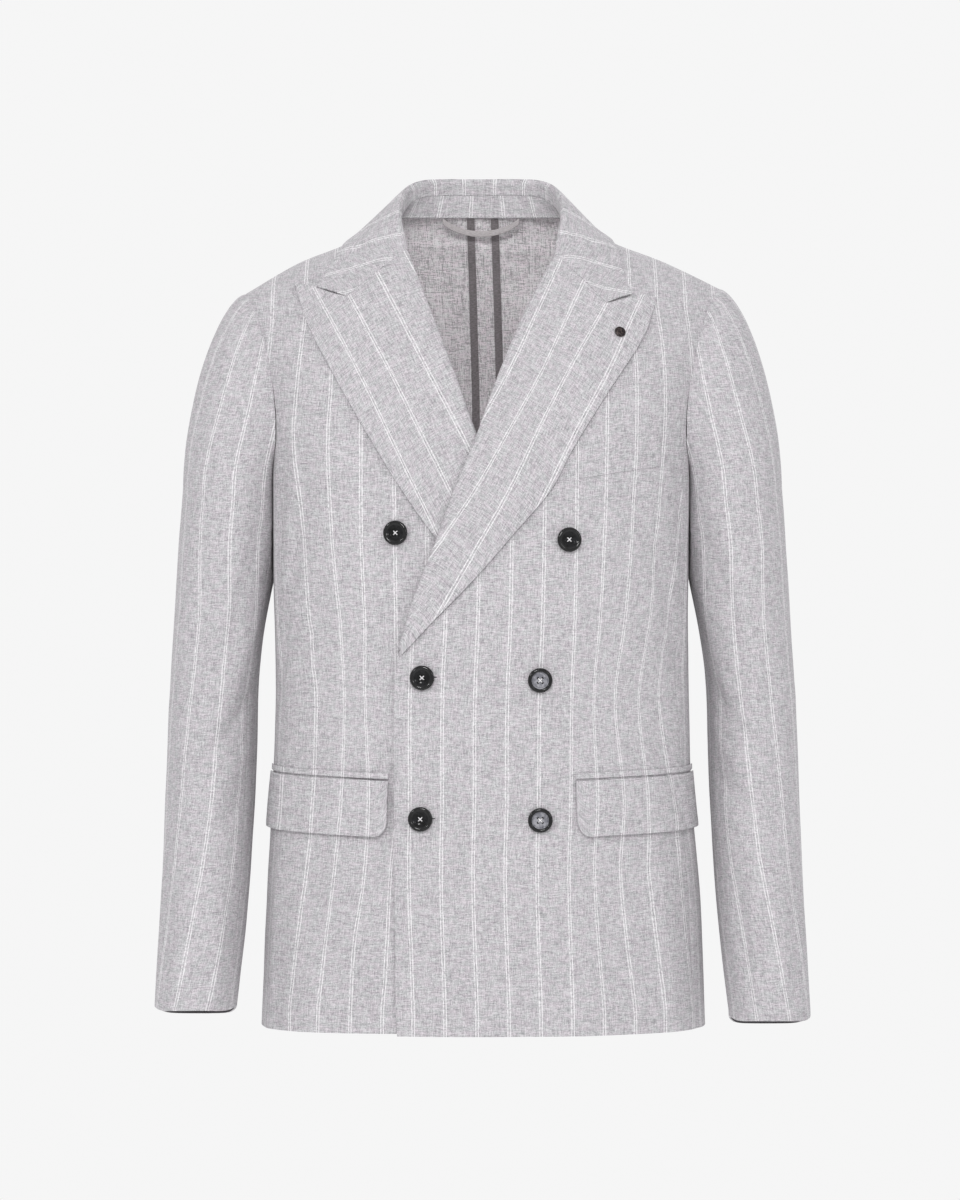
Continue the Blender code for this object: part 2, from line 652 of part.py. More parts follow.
def collar_end(side, row):
    """The front end of the collar: down the gorge to the notch, then out to the collar's corner."""
    roll = LEFT_ROLL if side > 0 else RIGHT_ROLL
    notch = LEFT_NOTCH if side > 0 else RIGHT_NOTCH
    corner = LEFT_COLLAR_END if side > 0 else RIGHT_COLLAR_END
    (x, z), gap, lift = corner, GORGE_GAP_NOTCH, COLLAR_LIFT
    if row < FALL_ROWS:
        share = max(row, 0) / (FALL_ROWS - 1)
        x, z = Vector(roll[0]).lerp(Vector(notch), share)
        gap = GORGE_GAP_TOP + share * (GORGE_GAP_NOTCH - GORGE_GAP_TOP)
    if row <= 0:
        past, lift = COLLAR_CURL[row - 1]
        x, lift = x - side * past, lift * MM
    return on_front(x * MM, (z + gap) * MM, lift)


def inside_fold(share, drop):
    """A point on the inside of the collar, at a drop under the fold that tapers to the ends."""
    fold, _, out = collar_line(share)
    inner = fold - out * COLLAR_FOLD * INSIDE_FOLD_DEPTH
    inner.z -= drop * (1 - INSIDE_FOLD_TAPER * smooth_step(abs(share), 0.5, 1))
    return inner


def collar_fall(panels):
    """The leaf of the collar: up inside the neck, over the fold and down to its outer edge."""
    tree = sheets_tree(panels)
    turned = len(COLLAR_CURL) - 1  # rows of the strip inside the neck

    def where(column, row):
        share = column / COLLAR_STATIONS - 1
        if column in (0, 2 * COLLAR_STATIONS):
            return collar_end(1 if share > 0 else -1, row - turned)
        fold, edge, out = collar_line(share)
        if row < turned:
            return inside_fold(share, COLLAR_TURN * (1 - row / turned) + COLLAR_FOLD)
        if row == turned:
            return fold
        down = (row - turned) / FALL_ROWS
        crest = fold + out * COLLAR_FOLD * 2 - Vector((0, 0, COLLAR_FOLD))
        point = fold * (1 - down) ** 2 + crest * 2 * down * (1 - down) + edge * down**2
        return clear_of(tree, point, COLLAR_LIFT)

    return sheet("collar_fall", 2 * COLLAR_STATIONS, turned + FALL_ROWS, where)


def neck_seam(share):
    """The seam between the collar stand and the body, at a share of the way, -1 to 1."""
    side = 1 if share >= 0 else -1
    share, back_share = abs(share), 0.6
    if share <= back_share:
        point = torso(180 - (180 - BACK_NECK_AZIMUTH) * share / back_share, 1)
    else:
        gorge = place_at(LEFT_ROLL[0][0] * MM, LEFT_ROLL[0][1] * MM)
        corner = Vector((FRONT_NECK_AZIMUTH, 1))
        point = torso(*corner.lerp(gorge, (share - back_share) / (1 - back_share)))
    point.x *= side
    return point


def collar_stand():
    def where(column, row):
        share = (column - STAND_STATIONS) / COLLAR_STATIONS
        top = inside_fold(share, COLLAR_TURN + COLLAR_FOLD)
        top.z -= SEAM_GAP * (2 + 3 * smooth_step(abs(share), 0.45, 0.7))
        bottom = neck_seam(share) - collar_line(share)[2] * CLOTH
        return bottom.lerp(top, row / 2)

    return sheet("collar_stand", 2 * STAND_STATIONS, 2, where)


# Pockets, buttons and trim


def on_girth(azimuth, height, lift):
    level = level_at(azimuth, height)
    return torso(azimuth, level) + torso_normal(azimuth, level) * lift


def flap(name, side):
    """A pocket flap, hanging a little away from the body, with rounded lower corners."""
    columns = len(FLAP_COLUMNS) - 1

    def where(column, row):
        share = FLAP_COLUMNS[column if side > 0 else columns - column]
        top = POCKET_TOP + POCKET_RISE * share
        bottom = top - FLAP_HEIGHT
        for radius, off in ((FLAP_FRONT_ROUND, share), (FLAP_BACK_ROUND, 1 - share)):
            short = max(radius - off * FLAP_LENGTH, 0)
            bottom += radius - (radius**2 - short**2) ** 0.5
        down = 1 - row / FLAP_ROWS
        azimuth = POCKET_FRONT + share * (POCKET_BACK - POCKET_FRONT)
        return on_girth(side * azimuth, top + (bottom - top) * down, FLAP_LIFT + FLAP_STAND_AWAY * down)

    return sheet(name, columns, FLAP_ROWS, where)


def pocket_welt(name, side):
    """The narrow folded edge above a flap."""
    def where(column, row):
        share = column / WELT_COLUMNS if side > 0 else 1 - column / WELT_COLUMNS
        height = POCKET_TOP + POCKET_RISE * share + CLOTH + row * WELT_HEIGHT
        azimuth = POCKET_FRONT + share * (POCKET_BACK - POCKET_FRONT)
        return on_girth(side * azimuth, height, WELT_LIFT)

    return sheet(name, WELT_COLUMNS, 1, where, thickness=TRIM)


def breast_pocket():
    low_front, low_back, high_back, high_front = (Vector(corner) * MM for corner in BREAST_POCKET)

    def where(column, row):
        across, up = column / BREAST_COLUMNS, row / BREAST_ROWS
        x, z = low_front.lerp(low_back, across).lerp(high_front.lerp(high_back, across), up)
        return on_front(x, z, BREAST_LIFT)

    return sheet("breast_pocket", BREAST_COLUMNS, BREAST_ROWS, where, thickness=TRIM)


def button_mesh():
    """A four-hole button, turned about +Z, its base at the origin."""
    turned = bmesh.new()
    profile = [turned.verts.new((radius * MM, 0, height * MM)) for radius, height in BUTTON_PROFILE]
    for a, b in zip(profile, profile[1:]):
        turned.edges.new((a, b))
    bmesh.ops.spin(turned, geom=turned.verts[:] + turned.edges[:], axis=(0, 0, 1), cent=(0, 0, 0),
                   angle=2 * pi, steps=16, use_merge=True)
    bmesh.ops.remove_doubles(turned, verts=turned.verts[:], dist=0.01 * MM)
    bmesh.ops.recalc_face_normals(turned, faces=turned.faces[:])
    mesh = bpy.data.meshes.new("button")
    turned.to_mesh(mesh)
    turned.free()

    drilled = bpy.data.objects.new("drilled", mesh)
    bpy.context.collection.objects.link(drilled)
    cutter = bmesh.new()
    for i in range(4):
        spot = Vector((BUTTON_HOLE_SPREAD, 0, 0))
        spot.rotate(Matrix.Rotation(radians(45 + 90 * i), 3, "Z"))
        bmesh.ops.create_cone(cutter, cap_ends=True, segments=6, radius1=BUTTON_HOLE_RADIUS,
                              radius2=BUTTON_HOLE_RADIUS, depth=10 * MM, matrix=Matrix.Translation(spot))
    cutter_mesh = bpy.data.meshes.new("button_holes")
    cutter.to_mesh(cutter_mesh)
    cutter.free()
    holes = bpy.data.objects.new("button_holes", cutter_mesh)
    bpy.context.collection.objects.link(holes)
    cut = drilled.modifiers.new("Holes", "BOOLEAN")
    cut.operation = "DIFFERENCE"
    cut.object = holes
    graph = bpy.context.evaluated_depsgraph_get()
    finished = bpy.data.meshes.new_from_object(drilled.evaluated_get(graph))
    bpy.data.objects.remove(drilled)
    bpy.data.objects.remove(holes)
    return finished


def on_surface(made, point, normal):
    """Stands a piece made along +Z on a point, along a normal."""
    made.matrix_world = Matrix.Translation(point) @ normal.to_track_quat("Z", "Y").to_matrix().to_4x4()


def front_normal(x, z):
    _, normal, _, _ = BODY.ray_cast(Vector((x, -1, z)), Vector((0, 1, 0)))
    return normal


def buttons():
    mesh = button_mesh()
    for name, x, z in BUTTONS:
        x, z = x * MM, z * MM
        depth = underlap(Vector((x, 0, z))) if name == "button_top_right" else 0
        made = piece(name, mesh.copy(), HORN)
        on_surface(made, on_front(x, z, depth + CLOTH / 2 + BUTTON_SHANK), front_normal(x, z))


def lapel_stud():
    made = bmesh.new()
    bmesh.ops.create_uvsphere(made, u_segments=12, v_segments=8, radius=STUD_RADIUS)
    for vertex in made.verts:
        vertex.co.z *= STUD_FLATNESS
    mesh = bpy.data.meshes.new("lapel_stud")
    made.to_mesh(mesh)
    made.free()
    x, z = (value * MM for value in STUD_PLACE)
    lift = LAPEL_EDGE_LIFT + CLOTH / 2 + STUD_RADIUS * STUD_FLATNESS + SEAM_GAP
    on_surface(piece("lapel_stud", mesh, DARK_METAL), on_front(x, z, lift), front_normal(x, z))


def hanger_loop():
    """The tape at the nape that the jacket is hung by, sagging between its ends."""
    def where(column, row):
        share = 2 * column / LOOP_COLUMNS - 1
        x, y = share * LOOP_HALF_SPAN, LOOP_DEPTH - LOOP_END_DEPTH * share**2
        middle = LOOP_TOP - LOOP_SAG * (1 - share**2) ** 0.8
        return Vector((x, y, middle + (row - 0.5) * LOOP_WIDTH))

    return sheet("hanger_loop", LOOP_COLUMNS, 1, where, BINDING, TRIM)


def seam_tape(name, side):
    """The binding of one edge of the open centre back seam, on the inside."""

    def where(column, row):
        level = min(row_level(row), TAPE_TOP)
        azimuth = beside_back_seam(level, side * TAPE_SPREAD + (0.5 - column) * TAPE_WIDTH)
        lift = -(CLOTH / 2 + SEAM_GAP + TRIM)
        return torso(azimuth, level) + torso_normal(azimuth, level) * lift

    return sheet(name, 1, PANEL_ROWS, where, BINDING, TRIM)


def main():
    for old in list(bpy.data.objects):
        bpy.data.objects.remove(old)

    left_front = front_panel("left_front", LEFT_ROLL, -1, lambda point: 0)
    right_front = front_panel("right_front", RIGHT_ROLL, 1, underlap)
    left_top = [LEFT_ROLL[0], LEFT_NOTCH, *LEFT_PEAK_TOP]
    right_top = [RIGHT_ROLL[0], RIGHT_NOTCH, *RIGHT_PEAK_TOP]
    lapel("left_lapel", left_front, LEFT_ROLL, LEFT_LAPEL_EDGE, left_top, 1, lambda point: 0)
    lapel("right_lapel", right_front, RIGHT_ROLL, RIGHT_LAPEL_EDGE, right_top, -1, underlap)
    backs = [back_panel("left_back", 1), back_panel("right_back", -1)]
    rest = AROUND_SLEEVE - UNDER_SLEEVE_COLUMNS
    for name, side, cuff in (("left", 1, LEFT_CUFF), ("right", -1, RIGHT_CUFF)):
        side_panel(f"{name}_side_panel", side)
        sleeve(f"{name}_under_sleeve", side, cuff, UNDER_SLEEVE_FIRST, UNDER_SLEEVE_COLUMNS)
        sleeve(f"{name}_top_sleeve", side, cuff, UNDER_SLEEVE_FIRST + UNDER_SLEEVE_COLUMNS, rest)
        flap(f"{name}_pocket_flap", side)
        pocket_welt(f"{name}_pocket_welt", side)
        seam_tape(f"{name}_seam_tape", side)
    collar_fall([left_front, right_front, *backs])
    collar_stand()
    breast_pocket()
    buttons()
    lapel_stud()
    hanger_loop()


main()
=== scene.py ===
# %% [markdown]
# # A double breasted jacket in striped linen and wool
#
# This lesson dresses a plain model of a jacket. The plain model has every piece of cloth as a stiff wall
# at its real size and place. Here each wall gives way to a finer sheet of cloth, cut and bent by the same
# tables, with its stripes, weave, creases and sewing. The steps follow a tailor's: the body's form, the
# cloth, the panels, the sleeves, the lapels and the collar, the pockets, then the buttons and the trim.

# %% The frame and the units
from math import atan2, cos, exp, hypot, pi, radians, sin

import bmesh
import bpy
from mathutils import Matrix, Vector, noise
from mathutils.bvhtree import BVHTree


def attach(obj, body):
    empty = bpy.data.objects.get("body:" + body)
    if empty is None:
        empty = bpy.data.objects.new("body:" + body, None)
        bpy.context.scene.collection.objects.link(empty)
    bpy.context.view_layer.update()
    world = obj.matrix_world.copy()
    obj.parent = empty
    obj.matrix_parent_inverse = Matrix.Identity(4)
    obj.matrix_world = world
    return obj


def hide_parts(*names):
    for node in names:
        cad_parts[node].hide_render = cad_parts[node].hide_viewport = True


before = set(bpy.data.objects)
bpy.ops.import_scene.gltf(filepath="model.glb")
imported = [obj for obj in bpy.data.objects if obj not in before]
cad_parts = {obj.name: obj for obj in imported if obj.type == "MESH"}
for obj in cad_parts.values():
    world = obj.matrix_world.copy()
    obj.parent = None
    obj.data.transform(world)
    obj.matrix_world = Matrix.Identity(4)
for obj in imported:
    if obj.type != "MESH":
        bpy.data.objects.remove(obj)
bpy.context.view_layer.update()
MM = 0.001
print("the plain model has", len(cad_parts), "pieces")

# %% [markdown]
# ## Camera
#
# A jacket is looked at level with its chest. A wide lens close by would make the shoulders and the hem look
# pinched, so a long lens stands a few steps away.

# %% Camera
VIEW_DISTANCE, VIEW_HEIGHT, VIEW_PLANE = 3.6, 1.08, -70 * MM  # the plane is where the height is measured
EYE = Vector((-0.9 * MM, VIEW_PLANE - VIEW_DISTANCE, -351.4 * MM))
SENSOR = 24  # mm, of the frame's height

camera_data = bpy.data.cameras.new("camera")
camera_data.sensor_fit = "VERTICAL"
camera_data.sensor_height = SENSOR
camera_data.lens = SENSOR * VIEW_DISTANCE / VIEW_HEIGHT
camera = bpy.data.objects.new("camera", camera_data)
camera.location = EYE
camera.rotation_euler = (pi / 2, 0, 0)
bpy.context.scene.collection.objects.link(camera)
bpy.context.scene.camera = camera
print(f"the lens is {camera_data.lens:.0f} mm long")

# %% [markdown]
# ## Light
#
# The cloth is pale and matt. One small lamp would throw hard shadows and hide its weave, so broad lamps
# stand to either side, in front, above and behind, and a bright room all round keeps the shadows soft.

# %% Lamps
LAMPS = [
    # name, place, width, power, in metres and watts
    ("lamp_left", (-2.3, -3.0, 1.0), 0.5, 15),
    ("lamp_right", (2.4, -3.2, 0.7), 0.9, 11),
    ("lamp_front", (-0.2, -3.4, 1.0), 0.8, 37),
    ("lamp_top", (0.2, -1.2, 2.6), 2.6, 3),
    ("lamp_back", (0.3, 2.4, 1.6), 2.0, 24),
]
LIT_PLACE = Vector((0, -0.1, -0.35))  # where every lamp points
for name, place, width, power in LAMPS:
    lamp = bpy.data.lights.new(name, "AREA")
    lamp.shape = "DISK"
    lamp.size = width
    lamp.energy = power
    shining = bpy.data.objects.new(name, lamp)
    shining.location = place
    aim = LIT_PLACE - shining.location
    shining.rotation_euler = aim.to_track_quat("-Z", "Y").to_euler()
    bpy.context.scene.collection.objects.link(shining)
print(len(LAMPS), "lamps are lit")

# %% Room
ROOM_SEEN, ROOM_LIGHT = 0.92, 0.77  # how bright the room looks, and how much light it gives
world = bpy.data.worlds.new("room")
world.use_nodes = True
room = world.node_tree
seen, lit = room.nodes["Background"], room.nodes.new("ShaderNodeBackground")
seen.inputs["Color"].default_value = (ROOM_SEEN, ROOM_SEEN, ROOM_SEEN, 1)
lit.inputs["Color"].default_value = (ROOM_LIGHT, ROOM_LIGHT, ROOM_LIGHT * 1.01, 1)
path, mixed = room.nodes.new("ShaderNodeLightPath"), room.nodes.new("ShaderNodeMixShader")
room.links.new(path.outputs["Is Camera Ray"], mixed.inputs[0])
room.links.new(lit.outputs[0], mixed.inputs[1])
room.links.new(seen.outputs[0], mixed.inputs[2])
room.links.new(mixed.outputs[0], room.nodes["World Output"].inputs["Surface"])
bpy.context.scene.world = world
bpy.context.scene.view_settings.view_transform = "Standard"
print("the room is lit", ROOM_LIGHT)

# %% [markdown]
# ## Arithmetic for materials
#
# A picture of cloth laid over the jacket would repeat and blur. Here the threads are worked out by shader
# nodes instead. A small class wraps a node's socket, so that plain sums add the nodes, which is easier to
# read than a list of links.

# %% Arithmetic on shader values
class Field:
    """A value that varies over a surface. Arithmetic on it adds the nodes that work it out."""

    def __init__(self, tree, socket):
        self.tree, self.socket = tree, socket

    def node(self, kind, settings, values, output=0):
        """Any node: its type, its settings, what goes into its sockets, and which socket comes out."""
        made = self.tree.nodes.new(kind)
        for name, value in settings.items():
            setattr(made, name, value)
        for place, value in values.items():
            if isinstance(value, Field):
                self.tree.links.new(value.socket, made.inputs[place])
            else:
                made.inputs[place].default_value = value
        return Field(self.tree, made.outputs[output])

    def maths(self, operation, *values, clamp=False):
        settings = {"operation": operation, "use_clamp": clamp}
        return self.node("ShaderNodeMath", settings, dict(enumerate(values)))

    def __add__(self, other):
        return self.maths("ADD", self, other)

    def __sub__(self, other):
        return self.maths("SUBTRACT", self, other)

    def __mul__(self, other):
        return self.maths("MULTIPLY", self, other)

    def __truediv__(self, other):
        return self.maths("DIVIDE", self, other)

    def __rsub__(self, other):
        return self.maths("SUBTRACT", other, self)

    __radd__, __rmul__ = __add__, __mul__

    def size(self):
        return self.maths("ABSOLUTE", self)

    def part(self):
        return self.maths("FRACT", self)

    def within(self, low, high):
        return self.maths("MAXIMUM", self.maths("MINIMUM", self, high), low)

    def ramp(self, start, end):
        """A soft step from 0 at the start to 1 at the end."""
        return self.node("ShaderNodeMapRange", {"interpolation_type": "SMOOTHSTEP"},
                         {0: self, 1: start, 2: end, 3: 0.0, 4: 1.0})

    def mix(self, first, second):
        """From the first colour, at 0, to the second, at 1."""
        return self.node("ShaderNodeMix", {"data_type": "RGBA"}, {0: self, 6: first, 7: second}, 2)


print("a field has", len([name for name in vars(Field) if name[0] != "_"]), "methods")

# %% [markdown]
# ## Maps for materials
#
# Threads run straight in the flat cloth, however it is bent afterwards. So a cloth's pattern is laid out on
# a map of the flat cloth, which every sheet below stores: how far across it a point lies, and how far
# along. Horn, thread and metal have no grain to follow, so their patterns fill the piece's own space.

# %% Materials and what feeds them
def new_material(name, roughness, numbers=(), metallic=0.0):
    made = bpy.data.materials.new(name)
    made.use_nodes = True
    shader = made.node_tree.nodes["Principled BSDF"]
    shader.inputs["Roughness"].default_value = roughness
    shader.inputs["Metallic"].default_value = metallic
    for place, value in dict(numbers).items():
        shader.inputs[place].default_value = value
    return made, made.node_tree, shader


def feed(shader, place, field):
    field.tree.links.new(field.socket, shader.inputs[place])


def emboss(shader, height, deep):
    """Relief from a field, so many mm deep."""
    numbers = {"Strength": 0.5, "Distance": deep * MM, "Height": height}
    feed(shader, "Normal", height.node("ShaderNodeBump", {}, numbers))


print("the materials so far:", len(bpy.data.materials))

# %% Maps
def flat_map(tree):
    """How far a point of the flat cloth lies across it and along it, in mm."""
    uv = tree.nodes.new("ShaderNodeUVMap")
    uv.uv_map = "flat"
    apart = tree.nodes.new("ShaderNodeSeparateXYZ")
    tree.links.new(uv.outputs[0], apart.inputs[0])
    return Field(tree, apart.outputs[0]) * 1000, Field(tree, apart.outputs[1]) * 1000


def noise_over(across, along, wide, tall, seed, detail=2.0):
    """Noise whose grains are about so many mm wide across the cloth and so many mm tall along it."""
    place = across.node("ShaderNodeCombineXYZ", {}, {0: across / wide, 1: along / tall, 2: seed})
    return across.node("ShaderNodeTexNoise", {}, {"Vector": place, "Scale": 1.0, "Detail": detail})


def noise_in_space(tree, scale, detail, distortion=0.0):
    """Noise that fills a piece's own space, with so many grains to a metre."""
    place = Field(tree, tree.nodes.new("ShaderNodeTexCoord").outputs["Object"])
    numbers = {"Vector": place, "Scale": scale, "Detail": detail, "Distortion": distortion}
    return place.node("ShaderNodeTexNoise", {}, numbers)


print("a noise has its seed in the third direction, so no two are alike")

# %% [markdown]
# ## The suiting
#
# A suiting like this is woven from flax and wool of several greys, so no two threads match, and some have
# thick places, called slubs. Fine white threads are woven in pairs to make a stripe. Modelling each thread
# would take millions of faces, so noises stretched along the weft and along the warp stand for them, and the
# same noises raise the relief. The wrong side is the same cloth with bolder slubs, made much paler as
# painted light, which brightens the inside where the jacket shades itself.

# %% Suiting
STRIPE_PITCH = 29.0  # mm between the stripes
STRIPE_HALF_SPREAD = 1.15  # mm from a stripe's middle to each of its two lines
TINT, OTHER_TINT = (1.025, 0.985, 1.01, 1), (0.985, 1.005, 0.995, 1)  # they multiply the yarn's colour
# The noises of the cloth. Columns: mm wide across it, mm tall along it, seed, detail.
MELANGE, WEFT, WARP = (1.15, 1.15, 3.1, 1.0), (6.0, 0.7, 11.7, 1.0), (0.7, 7.0, 23.3, 1.0)
SLUB, UPRIGHT_SLUB, FLECK = (13.0, 1.5, 33.1), (1.4, 16.0, 37.3), (2.8, 0.9, 41.9)
CLOUDS, TINTED, BREAKS = (21.0, 16.0, 57.0, 3.0), (9.0, 5.0, 71.0, 3.0), (0.9, 2.6, 91.0, 1.0)


def stripe_lines(across, along):
    """The white threads: two lines to a stripe, broken here and there where a thread dips under."""
    off = ((across / STRIPE_PITCH + 0.5).part() - 0.5) * STRIPE_PITCH
    line = 1.0 - (off.size() - STRIPE_HALF_SPREAD).size().ramp(0.28, 0.62)
    return line * (0.13 + noise_over(off, along, *BREAKS).ramp(0.30, 0.60) * 0.62)


def suiting(name, dark, pale, white, strength, slubs):
    """The cloth, from the colour of its darkest yarn to that of its palest, and of its stripes."""
    made, tree, shader = new_material(name, 0.92, {"Sheen Weight": 0.12, "Sheen Roughness": 0.5,
                                                   "Specular IOR Level": 0.25})
    across, along = flat_map(tree)
    melange, weft, warp = (noise_over(across, along, *yarn) for yarn in (MELANGE, WEFT, WARP))
    slub = noise_over(across, along, *SLUB).ramp(0.57, 0.70)
    upright = noise_over(across, along, *UPRIGHT_SLUB).ramp(0.58, 0.70)
    fleck = noise_over(across, along, *FLECK).ramp(0.62, 0.70)
    clouds = noise_over(across, along, *CLOUDS)
    yarn = (melange - 0.5) * 1.6 + (weft - 0.5) * 1.8 + (warp - 0.5) * 1.6 + (clouds - 0.5) * slubs
    yarn = (0.52 + yarn * strength - fleck * 0.3 - (slub + upright - 0.25) * slubs).within(0.0, 1.0)
    ground, tint = yarn.mix((*dark, 1), (*pale, 1)), noise_over(across, along, *TINTED).ramp(0.35, 0.65)
    ground = ground.node("ShaderNodeMix", {"data_type": "RGBA", "blend_type": "MULTIPLY"},
                         {0: 1.0, 6: ground, 7: tint.mix(OTHER_TINT, TINT)}, 2)
    line = stripe_lines(across, along)
    feed(shader, "Base Color", line.mix(ground, (*white, 1)))
    emboss(shader, (weft + warp) * 0.5 + melange * 0.4 + line * 0.3, 0.2)
    return made


SUITING = suiting("suiting", (0.285, 0.277, 0.29), (0.632, 0.617, 0.632), (0.87, 0.86, 0.865), 0.8, 0.05)
# painted light: the wrong side's yarns are much paler than the right side's, to brighten the shaded inside
INSIDE_PAINTED_PALER = suiting("suiting_inside_painted_light", (0.44, 0.42, 0.435), (0.97, 0.94, 0.955), (0.97, 0.95, 0.96), 1.15, 0.62)
print("the suiting is woven, with a stripe every", STRIPE_PITCH, "mm")

# %% [markdown]
# ## Tape and lining
#
# The raw edges inside are bound in a narrow woven tape, and the loop is a paler one. The sleeves are lined
# in a twill so that an arm slips through, and the twill is made nearly black as painted shade, where little
# light reaches inside the sleeves. All three have fine ribs across them, which a noise wider than it is tall
# gives.

# %% Tape and lining
def tape(name, dark, pale):
    """A narrow weave with fine ribs across it."""
    made, tree, shader = new_material(name, 0.75, {"Specular IOR Level": 0.3})
    ribs = noise_over(*flat_map(tree), 3.0, 0.8, 5.0)
    feed(shader, "Base Color", ribs.ramp(0.3, 0.7).mix((*dark, 1), (*pale, 1)))
    emboss(shader, ribs, 0.2)
    return made


BINDING = tape("binding", (0.17, 0.155, 0.16), (0.30, 0.275, 0.285))
# painted shade: the lining is a real part, but its near-black colour stands for the shade inside the sleeves
LINING_PAINTED_SHADE = tape("lining", (0.055, 0.052, 0.056), (0.11, 0.104, 0.11))
LOOP_TAPE = tape("loop_tape", (0.36, 0.335, 0.34), (0.50, 0.47, 0.475))
print("two tapes and the lining are mixed")

# %% [markdown]
# ## Reading the tables
#
# A tailor's pattern is a table of measures with smooth curves drawn between them. The jacket's form is kept
# the same way: short tables of sizes, with a curve between their rows. A line that shows from the front is
# followed by the share of its length.

# %% Between the rows of a table
def read_table(rows, place):
    """The values of a table at a place between its rows, along smooth curves."""
    place = min(max(place, rows[0][0]), rows[-1][0])
    at = max(i for i in range(len(rows) - 1) if rows[i][0] <= place)
    start, end = rows[at], rows[at + 1]
    before, after = rows[max(at - 1, 0)], rows[min(at + 2, len(rows) - 1)]
    span = end[0] - start[0]
    t = (place - start[0]) / span
    values = []
    for column in range(1, len(start)):
        leaving = (end[column] - before[column]) / (end[0] - before[0]) * span
        arriving = (after[column] - start[column]) / (after[0] - start[0]) * span
        values.append(
            (2 * t**3 - 3 * t**2 + 1) * start[column]
            + (t**3 - 2 * t**2 + t) * leaving
            + (3 * t**2 - 2 * t**3) * end[column]
            + (t**3 - t**2) * arriving
        )
    return values


def smooth_step(value, start, end):
    t = min(max((value - start) / (end - start), 0), 1)
    return t * t * (3 - 2 * t)


print("halfway along a smooth step:", smooth_step(0.5, 0, 1))

# %% Along a line
def with_shares(points):
    """A line's points as rows of a table: the share of its length, then the point."""
    lengths = [(Vector(b) - Vector(a)).length for a, b in zip(points, points[1:])]
    return [(sum(lengths[:i]) / sum(lengths), *point) for i, point in enumerate(points)]


def along_curve(points, share):
    """The point at a share of the length of a smooth line through some points."""
    return Vector(read_table(with_shares(points), share))


def along_line(points, share):
    """The point at a share of the length of a line with corners."""
    rows = with_shares(points)
    at = max(i for i in range(len(rows) - 1) if rows[i][0] <= share)
    start, end = rows[at], rows[at + 1]
    return Vector(start[1:]).lerp(Vector(end[1:]), (share - start[0]) / (end[0] - start[0]))


def bisect(measure, target, low, high):
    """Where a growing measure reaches its target."""
    for _ in range(30):
        middle = (low + high) / 2
        if measure(middle) < target:
            low = middle
        else:
            high = middle
    return (low + high) / 2


print("the middle of a bent line:", tuple(along_line([(0, 0), (1, 0), (1, 1)], 0.5)))

# %% [markdown]
# ## The body's form
#
# Cloth that is worn takes the shape of the chest and the hips. Below the armholes that is a stack of level
# sections, squarer than ellipses, with soft hollows between the folds of the skirt. Sculpting it by hand
# would work too, but sections keep it the size that the tables say.

# %% Level sections
HEM = -731 * MM
CHEST = -245 * MM

# Level sections of the body. Columns in mm: height, half width, middle (how far the skirt swings to
# the left), centre front, centre back, depth at which it is widest; then how square the section is
# (2 is an ellipse).
GIRTHS = [
    (-731, 198.5, 2.2, -196, 54, -68, 2.6),
    (-620, 194.0, 2.2, -194, 48, -70, 2.5),
    (-530, 187.5, 0.8, -193, 34, -76, 2.5),
    (-440, 184.5, 1.2, -194, 26, -78, 2.5),
    (-350, 185.0, 0.0, -196, 38, -72, 2.5),
    (-245, 188.0, 0.0, -193, 50, -66, 2.5),
]

# Soft hollows between the folds of the skirt and the waist. Columns: height in mm, azimuth, depth in
# mm, then half the height in mm and half the width in degrees over which it fades.
BODY_HOLLOWS = [
    (-700, 52, 3.5, 130, 11),
    (-670, 20, 2.5, 110, 10),
    (-690, -50, 3.5, 120, 11),
    (-410, 62, 2.5, 45, 13),
    (-400, -60, 2.5, 50, 13),
    (-690, 128, 4.5, 150, 13),
    (-710, 158, 3.0, 120, 10),
    (-680, -135, 4.5, 140, 14),
    (-420, 140, 3.0, 40, 20),
    (-380, -150, 3.0, 35, 22),
]


def hollow(hollows, height, turn):
    """How deep a table of soft hollows is at a height and a turn, in mm."""
    deep = 0
    for middle, facing, depth, half_height, half_width in hollows:
        off = (turn - facing + 180) % 360 - 180
        deep += depth * exp(-(((height / MM - middle) / half_height) ** 2) - (off / half_width) ** 2)
    return deep


def girth_point(azimuth, height):
    half, middle, front, back, widest, square = read_table(GIRTHS, height / MM)
    across, ahead = sin(radians(azimuth)), cos(radians(azimuth))
    depth = widest - front if ahead > 0 else back - widest
    reach = ((abs(across) / half) ** square + (abs(ahead) / depth) ** square) ** (-1 / square)
    reach -= hollow(BODY_HOLLOWS, height, azimuth)
    return Vector((middle + reach * across, widest - reach * ahead, height / MM)) * MM


print(f"the chest is {2 * girth_point(90, CHEST).x:.3f} m wide")

# %% [markdown]
# ## Shoulders and neckline
#
# Above the armholes the cloth curves over to the shoulder seams and the neckline. A fuller curve than a
# quarter of an ellipse keeps the chest upright before it turns, as a pressed and canvassed front does.

# %% Tops of the sections
# Left shoulder seam from the neck to the sleeve. Columns: share of its length, then x, y, z in mm,
# and how much nearer to the neck and lower the right one is.
SHOULDER_SEAM = [
    (0.00, 82, -45, -4, 0, 0),
    (0.27, 115, -46, -26.5, 0, 0),
    (0.62, 165, -48, -46.5, 0.5, 1),
    (1.00, 216, -50, -71.5, 2.5, 4.5),
]
NECK_PIT = Vector((0, -118, -60)) * MM
NECK_POINT = Vector((82, -45, -4)) * MM

